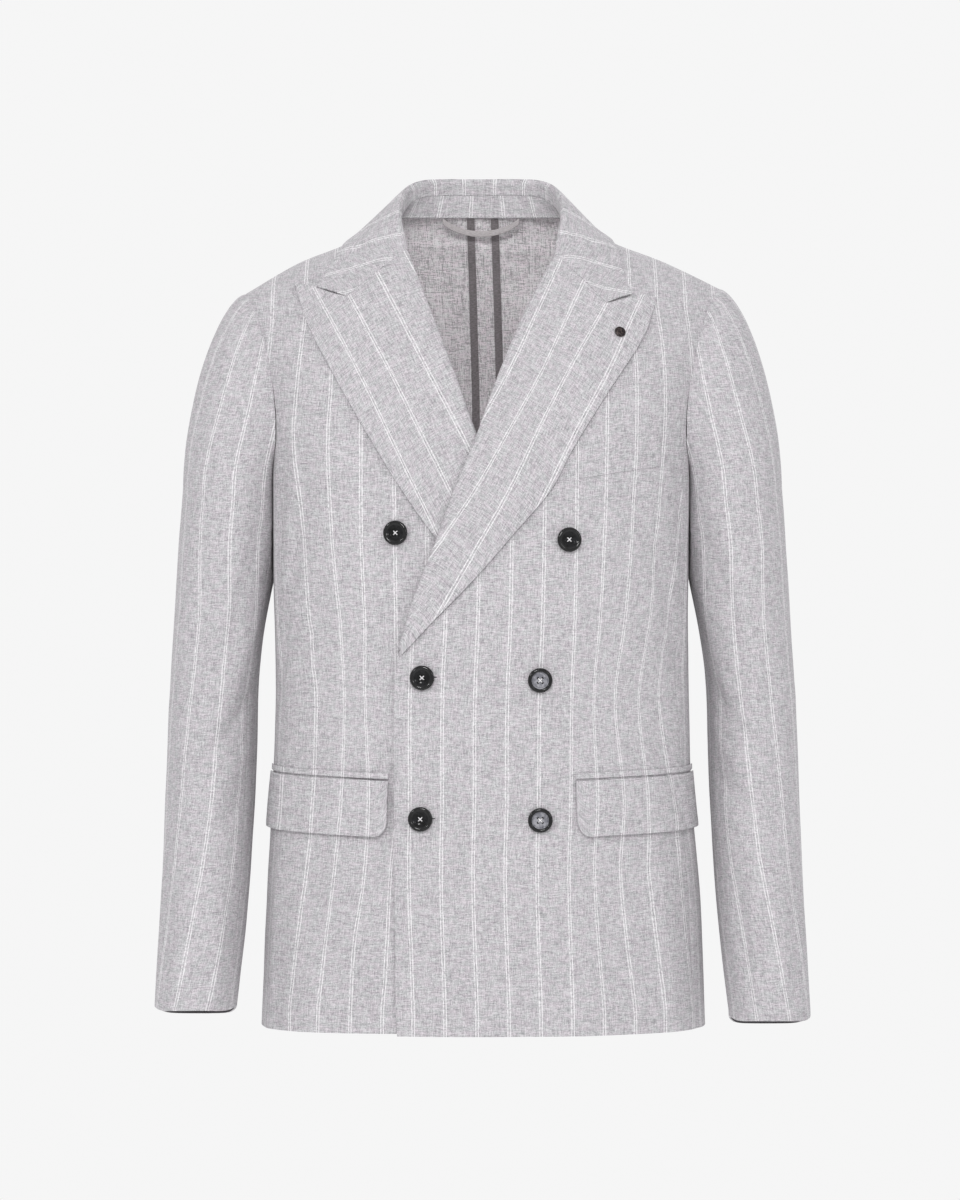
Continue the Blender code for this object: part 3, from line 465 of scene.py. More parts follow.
# How full the cloth curves over from the chest to the shoulder seam (2 is an ellipse).
# Columns: azimuth, fullness.
ARCHES = [(0, 1.3), (24, 1.35), (40, 1.65), (73, 2.1), (108, 2.1), (140, 2.3), (180, 1.5)]
ARCH_SIDEWAYS = 1.8  # the same for how the cloth comes in sideways on its way up
SEAM_SOFTNESS = 18  # degrees over which the corners of the neckline fade lower down

FRONT_NECK_AZIMUTH = 38  # where the shoulder seam starts and ends, as azimuths of the front
FRONT_SEAM = 73  # front to side panel, and above it the front of the armhole
BACK_SEAM = 108  # side panel to back, and above it the back of the armhole
BACK_NECK_AZIMUTH = 140


def top_point(azimuth, side):
    """The neckline and the shoulder seam of one side, mirrored to the left, for an azimuth from 0 to
    180."""
    if azimuth < FRONT_NECK_AZIMUTH:
        turn = azimuth / FRONT_NECK_AZIMUTH * pi / 2
        rise = NECK_PIT - NECK_POINT
        return NECK_POINT + Vector(
            (-NECK_POINT.x * (1 - sin(turn)), rise.y * cos(turn), rise.z * cos(turn))
        )
    if azimuth > BACK_NECK_AZIMUTH:
        turn = (180 - azimuth) / (180 - BACK_NECK_AZIMUTH) * pi / 2
        rest = 1 - cos(turn)
        return Vector((NECK_POINT.x * sin(turn), NECK_POINT.y * rest, NECK_POINT.z * rest))
    if azimuth < FRONT_SEAM:
        share = (azimuth - FRONT_NECK_AZIMUTH) / (FRONT_SEAM - FRONT_NECK_AZIMUTH)
    elif azimuth > BACK_SEAM:
        share = (BACK_NECK_AZIMUTH - azimuth) / (BACK_NECK_AZIMUTH - BACK_SEAM)
    else:
        share = 1
    x, y, z, nearer, lower = read_table(SHOULDER_SEAM, share)
    return Vector((x, y, z)) * MM if side > 0 else Vector((x - nearer, y, z - lower)) * MM


print(f"the neck is {2 * NECK_POINT.x:.3f} m wide at its points")

# %% The surface of the body
NORMAL_TURN, NORMAL_LEVEL = 0.5, 0.01  # steps in degrees and in levels that a normal is measured over


def torso(azimuth, level):
    """The middle of the body's wall."""
    if level <= 0:
        return girth_point(azimuth, CHEST + level * (CHEST - HEM))
    side = 1 if sin(radians(azimuth)) >= 0 else -1
    folded = abs((azimuth + 180) % 360 - 180)
    base = girth_point(folded, CHEST)
    near = min(SEAM_SOFTNESS * (1 - min(level, 1)), folded, 180 - folded)
    around = (top_point(folded + step, side) for step in (-near, 0, 0, near))
    top = sum(around, Vector()) / 4
    (full,) = read_table(ARCHES, folded)
    turn = (1 - min(level, 1)) * pi / 2
    out, up = sin(turn) ** (2 / full), max(cos(turn), 0) ** (2 / full)
    return Vector((
        side * (base.x + (top.x - base.x) * up**ARCH_SIDEWAYS),
        top.y + (base.y - top.y) * out,
        base.z + (top.z - base.z) * up,
    ))


def torso_normal(azimuth, level):
    ahead = torso(azimuth + NORMAL_TURN, level) - torso(azimuth - NORMAL_TURN, level)
    high, low = min(level + NORMAL_LEVEL, 1), level - NORMAL_LEVEL
    return ahead.cross(torso(azimuth, high) - torso(azimuth, low)).normalized()


print(f"the shoulder seam ends {torso(FRONT_SEAM, 1).x:.3f} m from the middle")

# %% [markdown]
# ## Finding a place on the body
#
# The outlines of the front are known as they show from the front, and the cloth lies somewhere behind them.
# So the body's surface is made once as faces, and a line of sight is dropped on it. Pieces that lie on
# others are dropped on those pieces in the same way.

# %% Places that show from the front
FACES_ROUND, FACES_HIGH = 240, 160  # of the body's surface, to drop points on
FRONT_REACH = 85  # degrees from the middle of the front that are searched for a place


def level_at(azimuth, height):
    if height <= CHEST:
        return (height - CHEST) / (CHEST - HEM)
    return bisect(lambda level: torso(azimuth, level).z, height, 0, 1)


def place_at(x, z):
    """Azimuth and level of the place on the front that shows at (x, z)."""
    azimuth = bisect(lambda turn: torso(turn, level_at(turn, z)).x, x, -FRONT_REACH, FRONT_REACH)
    return Vector((azimuth, level_at(azimuth, z)))


def body_tree():
    """The body's surface as faces, to drop points on."""
    turns = [360 / FACES_ROUND * (i - FACES_ROUND // 2) for i in range(FACES_ROUND)]
    levels = [-1 + 2 * i / FACES_HIGH for i in range(FACES_HIGH + 1)]
    points = [torso(turn, level) for level in levels for turn in turns]
    beside = [(i, (i + 1) % FACES_ROUND) for i in range(FACES_ROUND)]
    quads = [(row + a, row + b, row + FACES_ROUND + b, row + FACES_ROUND + a)
             for row in range(0, FACES_HIGH * FACES_ROUND, FACES_ROUND) for a, b in beside]
    return BVHTree.FromPolygons(points, quads)


def seen_at(tree, x, z):
    """Where the sight from the front meets some faces at (x, z), and which way they face there."""
    return tree.ray_cast(Vector((x, -1, z)), Vector((0, 1, 0)))[:2]


def on_front(x, z, lift):
    """The point that shows at (x, z) from the front, moved out from the body by its lift."""
    place, normal = seen_at(BODY, x, z)
    return place + normal * lift


def sheets_tree(sheets):
    """The middles of some sheets' walls as faces, to drop points on."""
    points, faces = [], []
    for made in sheets:
        first = len(points)
        points += [vertex.co for vertex in made.data.vertices]
        faces += [[first + i for i in face.vertices] for face in made.data.polygons]
    return BVHTree.FromPolygons(points, faces)


BODY = body_tree()
print(f"the front stands out {-on_front(0, CHEST, 0).y:.3f} m at the chest")

# %% [markdown]
# ## Folds and creases
#
# Worn cloth is never quite smooth. It hangs from the chest and the shoulder blades in long soft folds, and
# it breaks at the elbows and where the front is buttoned. A cloth simulation would put such folds anywhere,
# so they are listed one by one: each is a line on the cloth with a depth and a width. The cloth sinks along
# it, or rises where the depth is negative.

# %% Folds of the body
# Columns: from azimuth and height to azimuth and height, depth, half width. All but the azimuths in mm.
BODY_FOLDS = [
    (-44, -150, -56, -330, 1.6, 13), (-30, -330, -22, -480, -1.0, 12), (-47, -560, -38, -720, 1.8, 14),
    (-63, -560, -66, -725, -1.8, 11), (-24, -600, -17, -728, 1.6, 11), (-55, -300, -70, -430, 1.4, 10),
    (-64, -395, -40, -372, 1.2, 7), (-66, -420, -45, -408, -1.0, 7), (-8, -330, -20, -400, 0.8, 8),
    (36, -230, 52, -330, 1.2, 12), (52, -300, 66, -420, 1.6, 11), (66, -405, 45, -385, 1.1, 7),
    (14, -440, 10, -560, 1.1, 13), (30, -560, 34, -725, 1.5, 13), (48, -560, 52, -728, -1.7, 12),
    (62, -590, 66, -728, 1.8, 9), (4, -600, 6, -728, 0.9, 12), (60, -215, 64, -290, 1.3, 8),
    (-60, -215, -66, -300, 1.3, 8), (70, -240, 73, -400, -1.2, 8), (-70, -240, -73, -400, -1.2, 8),
    (150, -90, 160, -300, 1.6, 18), (-148, -100, -162, -290, 1.4, 18), (128, -200, 140, -430, -1.8, 14),
    (-126, -210, -141, -420, -1.6, 14), (166, -380, 160, -560, 1.4, 12), (-168, -390, -158, -600, 1.5, 12),
    (132, -520, 128, -726, 2.0, 15), (-131, -500, -126, -724, 2.0, 14), (150, -560, 154, -728, -1.8, 13),
    (-152, -540, -150, -728, -1.7, 13), (110, -430, 140, -405, 1.2, 8), (-112, -436, -142, -400, 1.3, 8),
    (112, -455, 136, -440, -1.0, 7), (-110, -462, -134, -446, -1.0, 7), (90, -420, 94, -700, 1.6, 10),
    (-90, -420, -95, -700, 1.5, 10), (120, -170, 112, -280, 1.8, 12), (-120, -170, -111, -285, 1.7, 12),
    (152, -30, 205, -24, 1.8, 7), (158, -62, 186, -50, -1.0, 9), (-32, -712, -14, -640, 1.2, 9),
    (50, -470, 66, -560, 1.6, 10), (40, -600, 58, -560, 1.2, 9),
]
print(len(BODY_FOLDS), "folds on the body")

# %% Folds of the sleeves
# Columns: from degrees round the sleeve and height to degrees and height, depth, half width.
LEFT_SLEEVE_FOLDS = [
    (128, -290, 96, -400, 2.0, 9), (150, -330, 120, -450, -1.5, 8), (160, -420, 100, -470, 1.8, 7),
    (158, -460, 92, -520, -1.3, 7), (150, -505, 70, -560, 1.7, 8), (60, -330, 70, -520, 1.1, 11),
    (40, -560, 55, -700, 1.2, 11), (98, -590, 88, -715, -1.3, 9), (125, -600, 118, -712, 1.5, 7),
    (230, -300, 262, -420, 1.8, 10), (205, -410, 262, -455, 1.6, 8), (210, -470, 270, -480, -1.4, 8),
    (255, -500, 285, -690, 1.5, 12), (318, -300, 322, -520, -1.2, 13), (20, -220, 12, -420, 1.0, 12),
    (208, -560, 230, -715, 1.4, 9),
]
RIGHT_SLEEVE_FOLDS = [
    (130, -290, 104, -410, 1.9, 9), (150, -350, 116, -440, -1.4, 8), (158, -430, 96, -490, 1.9, 7),
    (156, -480, 84, -540, -1.4, 7), (140, -530, 66, -590, 1.5, 8), (72, -300, 62, -470, 1.2, 11),
    (30, -540, 48, -705, 1.1, 11), (88, -560, 84, -706, 1.4, 8), (118, -590, 122, -706, -1.2, 8),
    (232, -310, 258, -410, 1.7, 10), (204, -420, 262, -470, 1.7, 8), (212, -490, 268, -500, -1.4, 8),
    (250, -520, 280, -690, 1.4, 12), (320, -280, 326, -500, -1.2, 13), (18, -230, 14, -430, 1.1, 12),
    (210, -570, 228, -706, 1.4, 9),
]
print(len(LEFT_SLEEVE_FOLDS), "folds on a sleeve")

# %% Depth of the folds
BODY_ARC, SLEEVE_ARC = 3.1, 0.82  # mm round the body and round a sleeve for each degree
FOLD_REACH = 2.6  # half widths from its line at which a fold has faded out
RIPPLE, RIPPLE_LENGTH = 0.45, 46 * MM  # mm high, of the small unevenness all over


def fold_depth(folds, arc, turn, height):
    """How deep the folds are at a turn and a height in mm, in mm."""
    deep = 0
    for turn_a, height_a, turn_b, height_b, depth, half_width in folds:
        start = Vector((((turn_a - turn + 180) % 360 - 180) * arc, height_a - height))
        run = Vector((((turn_b - turn_a + 180) % 360 - 180) * arc, height_b - height_a))
        share = min(max(-start.dot(run) / run.length_squared, 0), 1)
        off = (start + run * share).length / half_width
        if off < FOLD_REACH:
            middling = 0.6 + 0.8 * sin(pi * (0.12 + 0.76 * share))  # a fold is shallower at its ends
            deep += depth * exp(-off * off) * middling
    return deep


def body_folds(point):
    half, middle, front, back, widest, _ = read_table(GIRTHS, point.z / MM)
    x, y = point.x / MM - middle, point.y / MM - widest
    turn = atan2(x, -y * half / (widest - front if y < 0 else back - widest))
    return fold_depth(BODY_FOLDS, BODY_ARC, turn * 180 / pi, point.z / MM)


def no_folds(point):
    return 0


print("a fold has faded out", FOLD_REACH, "half widths from its line")

# %% [markdown]
# ## A sheet of cloth
#
# Every piece is cut from the flat, so it starts as a flat grid, whose points are moved to where the tables
# say. Its map of the flat cloth is stored first, so that the stripes run as they were cut. Then it sinks
# along its folds. Solidify gives it the cloth's thickness and a small bevel the round of a folded edge,
# which is simpler than drawing both sides of the cloth.

# %% Making an object
def finished(shape, name, *finish):
    """Makes a bmesh an object with smooth shading and its materials."""
    mesh = bpy.data.meshes.new(name)
    shape.to_mesh(mesh)
    shape.free()
    for material in finish:
        mesh.materials.append(material)
    mesh.shade_smooth()
    made = bpy.data.objects.new(name, mesh)
    bpy.context.scene.collection.objects.link(made)
    return made


def cumulative(grid):
    """Distances along each row of a grid of points."""
    rows = []
    for row in grid:
        far = [0.0]
        for a, b in zip(row, row[1:]):
            far.append(far[-1] + (b - a).length)
        rows.append(far)
    return rows


# %% Sheets
FINER = 5  # squares of a sheet to each one of the plain model, so that the cloth can hold a crease
CLOTH = 1.6 * MM  # thickness of the suiting, doubled and faced as it is
TRIM = 1.0 * MM  # thickness of the tapes and the pocket edges
EDGE_ROUND, EDGE_ANGLE = 0.4, 55  # share of the thickness, and the degrees a corner must have
CUTS = {}  # the flat width, length and area of each sheet


def cloth(name, columns, rows, where, pattern, folds=no_folds, finish=(SUITING, INSIDE_PAINTED_PALER), thickness=CLOTH):
    """A sheet of cloth. where(column, row) gives its points. pattern(point, column, row, across, along)
    gives the distances across and along the flat cloth in mm, from the lengths of its row and column."""
    made = bmesh.new()
    bmesh.ops.create_grid(made, x_segments=columns, y_segments=rows, size=1)
    places, grid = {}, [[None] * (columns + 1) for _ in range(rows + 1)]
    for vertex in made.verts:
        column = round((vertex.co.x + 1) / 2 * columns)
        row = round((vertex.co.y + 1) / 2 * rows)
        vertex.co = where(column, row)
        places[vertex.index] = (column, row)
        grid[row][column] = vertex.co.copy()
    acrosses, alongs = cumulative(grid), cumulative(zip(*grid))
    size = max(far[-1] for far in acrosses), max(far[-1] for far in alongs)
    area = sum(face.calc_area() for face in made.faces)
    flat = made.loops.layers.uv.new("flat")
    for face in made.faces:
        for loop in face.loops:
            column, row = places[loop.vert.index]
            spot = pattern(grid[row][column], column, row, acrosses[row], alongs[column])
            loop[flat].uv = (spot[0] * MM, spot[1] * MM)
    made.normal_update()
    moves = []
    for vertex in made.verts:
        deep = folds(vertex.co)
        if folds is not no_folds:
            deep += noise.noise(vertex.co / RIPPLE_LENGTH) * RIPPLE
        moves.append(vertex.normal * -deep * MM)
    for vertex, move in zip(made.verts, moves):
        vertex.co += move
    made = finished(made, name, *finish)
    CUTS[name] = (min(size), max(size), area)
    wall = made.modifiers.new("Wall", "SOLIDIFY")
    wall.thickness = thickness
    wall.offset = 0
    wall.material_offset = len(finish) - 1
    edge = made.modifiers.new("Edge", "BEVEL")
    edge.width = thickness * EDGE_ROUND
    edge.segments = 2
    edge.angle_limit = radians(EDGE_ANGLE)
    return made


print("a sheet is", round(CLOTH / MM, 1), "mm thick")

# %% [markdown]
# ## How stripes follow a piece
#
# A tailor lays each piece on the cloth so that the stripes run with it. On the fronts and the lapels a table
# says where some stripes cross some heights, and between them the pattern is even. On the sides, the back
# and the collar the stripes keep their distance from a seam.

# %% Stripes
def by_stripes(table, numbers):
    """A pattern from where some numbered stripes cross some heights."""
    def pattern(point, column, row, across, along):
        x, z = point.x / MM, point.z / MM
        crossings = read_table(table, z)
        at = sum(x > crossing for crossing in crossings[1:-1])
        start, end = crossings[at], crossings[at + 1]
        first, last = numbers[at], numbers[at + 1]
        share = (x - start) / (end - start)
        if share < 0:
            share *= (end - start) / (last - first) / STRIPE_PITCH
        return (first + share * (last - first)) * STRIPE_PITCH, along[row] / MM

    return pattern


OTHER_END = 900  # mm along the cloth, from where one half of a pair is cut to where the other is


def by_seam(offset, from_last):
    """A pattern that keeps its distance from one edge of a sheet."""
    def pattern(point, column, row, across, along):
        far = across[-1] - across[column] if from_last else across[column]
        return offset + far / MM, along[row] / MM + (OTHER_END if from_last else 0)

    return pattern


print("the stripes can follow a piece")

# %% [markdown]
# ## Rows of the panels
#
# The panels share their rows, so that their seams meet point by point: some below the armholes, a few at the
# armholes' foot, and more towards the shoulder, where the form turns fastest.

# %% Rows of the panels
SCYE_LEVEL = 0.2  # the armhole is rounded off below this level
BODY_ROWS, SCYE_ROWS, YOKE_ROWS = 17 * FINER, 2 * FINER, 6 * FINER
YOKE_CROWDING = 1.6  # how much closer the rows come towards the shoulder seam
PANEL_ROWS = BODY_ROWS + SCYE_ROWS + YOKE_ROWS
SEAM_HALF_GAP = 0.008  # degrees, which is half the seam gap round the body
HAIR = 0.04 * MM  # the gap where two panels are sewn together


def row_level(row):
    """The level of a row of a panel at a side seam or an armhole."""
    if row <= BODY_ROWS:
        return row / BODY_ROWS - 1
    if row <= BODY_ROWS + SCYE_ROWS:
        return (row - BODY_ROWS) / SCYE_ROWS * SCYE_LEVEL
    left = 1 - (row - BODY_ROWS - SCYE_ROWS) / YOKE_ROWS
    return 1 - (1 - SCYE_LEVEL) * left**YOKE_CROWDING


print(PANEL_ROWS, "rows from the hem to the shoulder")

# %% [markdown]
# ## The fronts
#
# The left front laps over the right as far as the second column of buttons. Each is one piece of cloth from
# its edge to its side seam, its armhole and its shoulder. Its inner edge follows the front edge and then the
# line that the lapel rolls along. The right front lies deeper where the left one covers it, so that the two
# never touch.

# %% Edges of the fronts
# The lines the lapels roll along and the front edge, as (x, z) in mm, from the top down.
LEFT_ROLL = [(68, -45), (42.4, -95), (18.4, -153), (-2.6, -212), (-23.5, -264), (-37.4, -303),
             (-57.3, -354), (-64.3, -379), (-70.4, -394)]
RIGHT_ROLL = [(-68, -41), (-49, -91), (-27, -149), (-3.5, -212), (23.5, -264), (37.4, -303),
              (57.3, -354), (64.3, -379), (70.4, -394)]
FRONT_EDGE = [(73.5, -408), (75.5, -440), (75.7, -566), (74.5, -700), (73, -731)]
# The right front lies deeper where the left one covers it. Columns in mm: height, depth.
UNDERLAP = [(-731, 3.4), (-440, 3.4), (-400, 6.6), (-170, 6.6), (-105, 0), (-95, 0), (0, 0)]
UNDERLAP_FROM, UNDERLAP_TO = -135 * MM, -80 * MM
RIGHT_FRONT_SHORTER = 5 * MM  # the front that lies under hangs this much higher at its edge
NECK_RETREAT = 5  # mm across and down that a front's neckline keeps from the top of the roll line
# Where the stripes of the left front run. Columns in mm: height, then x of stripes 0, 5, 7, 8 and 9.
LEFT_FRONT_STRIPES = [
    (-712, -59, 80, 135, 161, 188), (-595, -62.6, 76.6, 122, 147, 176), (-525, -61.8, 78.3, 124.7, 146, 170),
    (-438, -61.8, 79.2, 116.8, 138, 156), (-369, -59, 81.8, 125.5, 148, 165),
    (-264, -57, 83.5, 134, 156.6, 178), (-187, -56, 84, 136.6, 161.9, 187),
    (-135, -56, 84, 136, 161, 187), (-90, -56, 84, 132, 155.8, 182),
]
LEFT_FRONT_NUMBERS = (0, 5, 7, 8, 9)
# The same for the right front, with x of stripes -2, -1, 0, 1, 2, 3 and 4 from the side to the middle.
RIGHT_FRONT_STRIPES = [
    (-712, -192, -168, -143, -114.5, -86, -58, -30), (-650, -190, -161, -137, -110.5, -82, -55, -27),
    (-595, -182, -154, -129, -102, -79.5, -52, -24), (-525, -176, -147, -122, -98, -72.5, -45, -18),
    (-438, -176, -144, -119, -101.5, -73, -46, -19), (-369, -181, -150, -123, -101.5, -74, -47, -20),
    (-299, -189, -156, -130, -104.5, -75, -47, -20), (-212, -190, -165, -134, -105, -76, -48, -21),
    (-160, -190, -162, -132, -105, -76, -48, -21), (-105, -186, -156, -130, -104, -76, -48, -21),
]
RIGHT_FRONT_NUMBERS = (-2, -1, 0, 1, 2, 3, 4)
print("the left lapel rolls from", LEFT_ROLL[0], "to", LEFT_ROLL[-1])

# %% Fronts
# Rows of a front at its edge, its roll line and its neckline.
EDGE_ROWS, ROLL_ROWS, NECK_ROWS = 10 * FINER, 12 * FINER, 3 * FINER
FRONT_COLUMNS = 14 * FINER


def underlap(point):
    """How deep the right front lies at a point."""
    (depth,) = read_table(UNDERLAP, point.z / MM)
    return -depth * MM * smooth_step(point.x, UNDERLAP_FROM, UNDERLAP_TO)


def no_depth(point):
    return 0


def front_panel(name, roll, side, depth, pattern):
    """A front, from its edge or roll line to its side seam, its armhole and its shoulder seam."""
    edge = [roll[-1]] + [(side * x, z) for x, z in FRONT_EDGE]
    spots = [along_curve(edge, 1 - row / EDGE_ROWS) for row in range(EDGE_ROWS)]
    spots += [along_curve(roll, 1 - row / ROLL_ROWS) for row in range(ROLL_ROWS + 1)]
    spots[-1] += Vector((-side, -1)) * NECK_RETREAT
    inner = [place_at(x * MM, z * MM) for x, z in spots]
    neck_point = Vector((-side * FRONT_NECK_AZIMUTH, 1))
    inner += [inner[-1].lerp(neck_point, row / NECK_ROWS) for row in range(1, NECK_ROWS + 1)]
    seam = -side * (FRONT_SEAM - SEAM_HALF_GAP)
    shorter = RIGHT_FRONT_SHORTER if side > 0 else 0

    def where(column, row):
        if side > 0:
            column = FRONT_COLUMNS - column
        outer = Vector((seam, row_level(row)))
        place = inner[row].lerp(outer, column / FRONT_COLUMNS)
        point = torso(*place)
        deep = depth(point)
        if deep:
            point += torso_normal(*place) * deep
        if row < FINER:
            point.z += shorter * (1 - column / FRONT_COLUMNS) * (1 - row / FINER)
        if row == PANEL_ROWS:
            point.y -= HAIR
        return point

    return cloth(name, FRONT_COLUMNS, PANEL_ROWS, where, pattern, body_folds)


left_front = front_panel("left_front_cloth", LEFT_ROLL, -1, no_depth,
                         by_stripes(LEFT_FRONT_STRIPES, LEFT_FRONT_NUMBERS))
right_front = front_panel("right_front_cloth", RIGHT_ROLL, 1, underlap,
                          by_stripes(RIGHT_FRONT_STRIPES, RIGHT_FRONT_NUMBERS))
print("the fronts have", len(left_front.data.polygons), "squares each")

# %% [markdown]
# ## The side panels
#
# A narrow panel under each arm joins the front to the back and shapes the waist. Its top is the foot of the
# armhole, a hollow curve, so its upper rows bend down towards that curve.

# %% Side panels
SCYE_ROUNDNESS = 2.2  # how full the armhole's foot curves (2 is an ellipse)
SCYE_FADED = -0.2  # the level where the rows no longer bend towards the armhole's foot
SIDE_COLUMNS = 5 * FINER
SIDE_STRIPE = 17  # mm from the front seam to a stripe


def scye_foot(azimuth):
    """The level of the armhole's foot, across the top of the side panel."""
    middle, half = (FRONT_SEAM + BACK_SEAM) / 2, (BACK_SEAM - FRONT_SEAM) / 2
    off = min(abs(azimuth - middle) / half, 1)
    return SCYE_LEVEL * (1 - (1 - off**SCYE_ROUNDNESS) ** (1 / SCYE_ROUNDNESS))


def side_panel(name, side):
    rows = BODY_ROWS + SCYE_ROWS

    def where(column, row):
        share = column / SIDE_COLUMNS if side > 0 else 1 - column / SIDE_COLUMNS
        azimuth = FRONT_SEAM + share * (BACK_SEAM - FRONT_SEAM)
        gap = SEAM_HALF_GAP * (1 - 2 * share)
        level = row_level(row)
        down = smooth_step(level, SCYE_LEVEL, SCYE_FADED)
        level = level * down + min(level, scye_foot(azimuth)) * (1 - down)
        return torso(side * (azimuth + gap), level)

    return cloth(name, SIDE_COLUMNS, rows, where, by_seam(SIDE_STRIPE, side < 0), body_folds)


left_side, right_side = side_panel("left_side_cloth", 1), side_panel("right_side_cloth", -1)
print("the side panels are", SIDE_COLUMNS, "squares wide")

# %% [markdown]
# ## The back
#
# The back is cut in two, and the centre seam between them wanders a little from the middle, as it does on
# anyone who stands at ease. Each half keeps its stripes parallel to that seam, so they mirror each other.

# %% Back
# Centre back seam: how far it wanders from the middle. Columns in mm: height, x.
BACK_SEAM_DRIFT = [(-731, 2), (-450, 4), (-190, 6.5), (-100, 4.6), (0, 1.5)]
BACK_COLUMNS = 9 * FINER
BACK_STRIPE = 13  # mm from the centre seam to a stripe


def beside_back_seam(level, off):
    """Azimuth of a place on the back, at a distance to the left of the centre back seam."""
    (drift,) = read_table(BACK_SEAM_DRIFT, torso(180, level).z / MM)
    return 180 - bisect(lambda turn: torso(180 - turn, level).x, drift * MM + off, -30, 30)


def back_panel(name, side):
    def where(column, row):
        share = column / BACK_COLUMNS if side > 0 else 1 - column / BACK_COLUMNS
        level = row_level(row)
        middle = MIDDLES[side][row]
        seam = side * (BACK_SEAM + SEAM_HALF_GAP)
        if side < 0:
            middle -= 360
        point = torso(seam + share * (middle - seam), level)
        if row == PANEL_ROWS and share < 1:
            point.y += HAIR
        return point

    return cloth(name, BACK_COLUMNS, PANEL_ROWS, where, by_seam(BACK_STRIPE, side > 0), body_folds)


MIDDLES = {
    side: [beside_back_seam(row_level(row), side * HAIR / 2) for row in range(PANEL_ROWS + 1)]
    for side in (1, -1)
}
left_back, right_back = back_panel("left_back_cloth", 1), back_panel("right_back_cloth", -1)
print("the back has", len(left_back.data.polygons), "squares on each side")

# %% [markdown]
# ## The armholes
#
# A sleeve is sewn to the fronts, the side panel and the back, so it starts from the points round their
# edges: down the front of the armhole, along its foot and up its back.

# %% Armholes
CAP_COLUMNS = 6 * FINER  # columns of a sleeve from its top to either end of the armhole's foot
AROUND_SLEEVE = 2 * CAP_COLUMNS + SIDE_COLUMNS
SCYE_TURN = 125  # degrees round the sleeve from its top to where the armhole's foot starts


def armhole(side):
    """The points round an armhole: down its front, along its foot and up its back."""
    levels = [1 - (1 - SCYE_LEVEL) * i / CAP_COLUMNS for i in range(CAP_COLUMNS + 1)]
    front = [torso(side * FRONT_SEAM, level) for level in levels]
    turns = [FRONT_SEAM + i / SIDE_COLUMNS * (BACK_SEAM - FRONT_SEAM) for i in range(1, SIDE_COLUMNS)]
    foot = [torso(side * turn, scye_foot(turn)) for turn in turns]
    back = [torso(side * BACK_SEAM, level) for level in reversed(levels)]
    return front + foot + back


def sleeve_turn(index):
    """Degrees round the sleeve, from its top by way of the front, of a point of the armhole."""
    if index <= CAP_COLUMNS:
        return SCYE_TURN * index / CAP_COLUMNS
    if index <= CAP_COLUMNS + SIDE_COLUMNS:
        return SCYE_TURN + (360 - 2 * SCYE_TURN) * (index - CAP_COLUMNS) / SIDE_COLUMNS
    return 360 - SCYE_TURN * (AROUND_SLEEVE - index) / CAP_COLUMNS


ARMHOLES = {side: armhole(side) for side in (1, -1)}
print(AROUND_SLEEVE, "columns round a sleeve")

# %% [markdown]
# ## The form of the arm
#
# The arm hangs from the shoulder and bends a little forward at the elbow. It is a stack of level rings like
# the body, tilted at the upper arm and at the cuff, with hollows at the bend of the elbow. Each point is
# kept clear of the body's side.

# %% Rings of the arm
# Level rings of the left arm. Columns in mm: height, centre x, centre y, half width, half depth.
ARM_GIRTHS = [
    (-722, 256.6, -112, 35.7, 47),
    (-620, 249.6, -93, 38.0, 51),
    (-530, 245.6, -77, 39.0, 55),
    (-440, 241.2, -66, 40.8, 59),
    (-350, 233.4, -62, 43.4, 63),
    (-270, 225.2, -63, 45.6, 65),
]
# Hollows like the body's, with degrees round the sleeve, from its top by way of the front.
LEFT_SLEEVE_HOLLOWS = [(-445, 130, 4.5, 55, 38), (-560, 75, 3.0, 60, 30), (-500, 290, 3.5, 60, 35),
                       (-385, 180, 6.5, 75, 45)]
RIGHT_SLEEVE_HOLLOWS = [(-465, 120, 4.5, 50, 35), (-385, 80, 3.0, 50, 30), (-530, 280, 3.5, 65, 35),
                        (-372, 180, 7.5, 80, 45)]
UPPER_ARM = -270 * MM
UPPER_ARM_TILT = 20 * MM  # the ring there is this much higher outside than its middle
RIGHT_ARM_CLOSER = 2.5 * MM  # the right sleeve hangs this much closer to the body
SLEEVE_CLEARANCE = 3 * MM  # between the middles of the sleeve's and the body's walls


def arm_point(turn, height, tilt, side):
    """A point round the arm, kept clear of the body."""
    x, y, half_width, half_depth = read_table(ARM_GIRTHS, height / MM)
    across, ahead = cos(radians(turn)), sin(radians(turn))
    deep = hollow(LEFT_SLEEVE_HOLLOWS if side > 0 else RIGHT_SLEEVE_HOLLOWS, height, turn)
    out = (x + (half_width - deep) * across) * MM - (0 if side > 0 else RIGHT_ARM_CLOSER)
    point = Vector((out, (y - (half_depth - deep) * ahead) * MM, height + tilt))
    half, middle, front, back, widest, square = read_table(GIRTHS, point.z / MM)
    depth = widest - front if point.y < widest * MM else back - widest
    off = min(abs(point.y / MM - widest) / depth, 1)
    body = (side * middle + half * (1 - off**square) ** (1 / square)) * MM
    point.x = side * max(point.x, body + SLEEVE_CLEARANCE)
    return point


print(f"the upper arm is {2 * ARM_GIRTHS[-1][3]:.0f} mm wide")

# %% From the armhole to the cuff
LEFT_CUFF, RIGHT_CUFF = -727 * MM, -718 * MM
CUFF_TILT = 6 * MM  # the front of a cuff is this much higher than its middle
CUFF_CORNER = 6 * MM  # how far a cuff's ends are drawn up
SLEEVE_HEAD_FULLNESS = 1.6  # how full the head curves from the armhole to the upper arm (2 is an ellipse)
SLEEVE_START = 0.3 * MM  # gap between the armhole's edge and the sleeve's
SCYE_FOOT_GAP = 1.9 * MM  # what the armhole's foot adds to it
HEAD_ROWS, ARM_ROWS = 7 * FINER, 17 * FINER


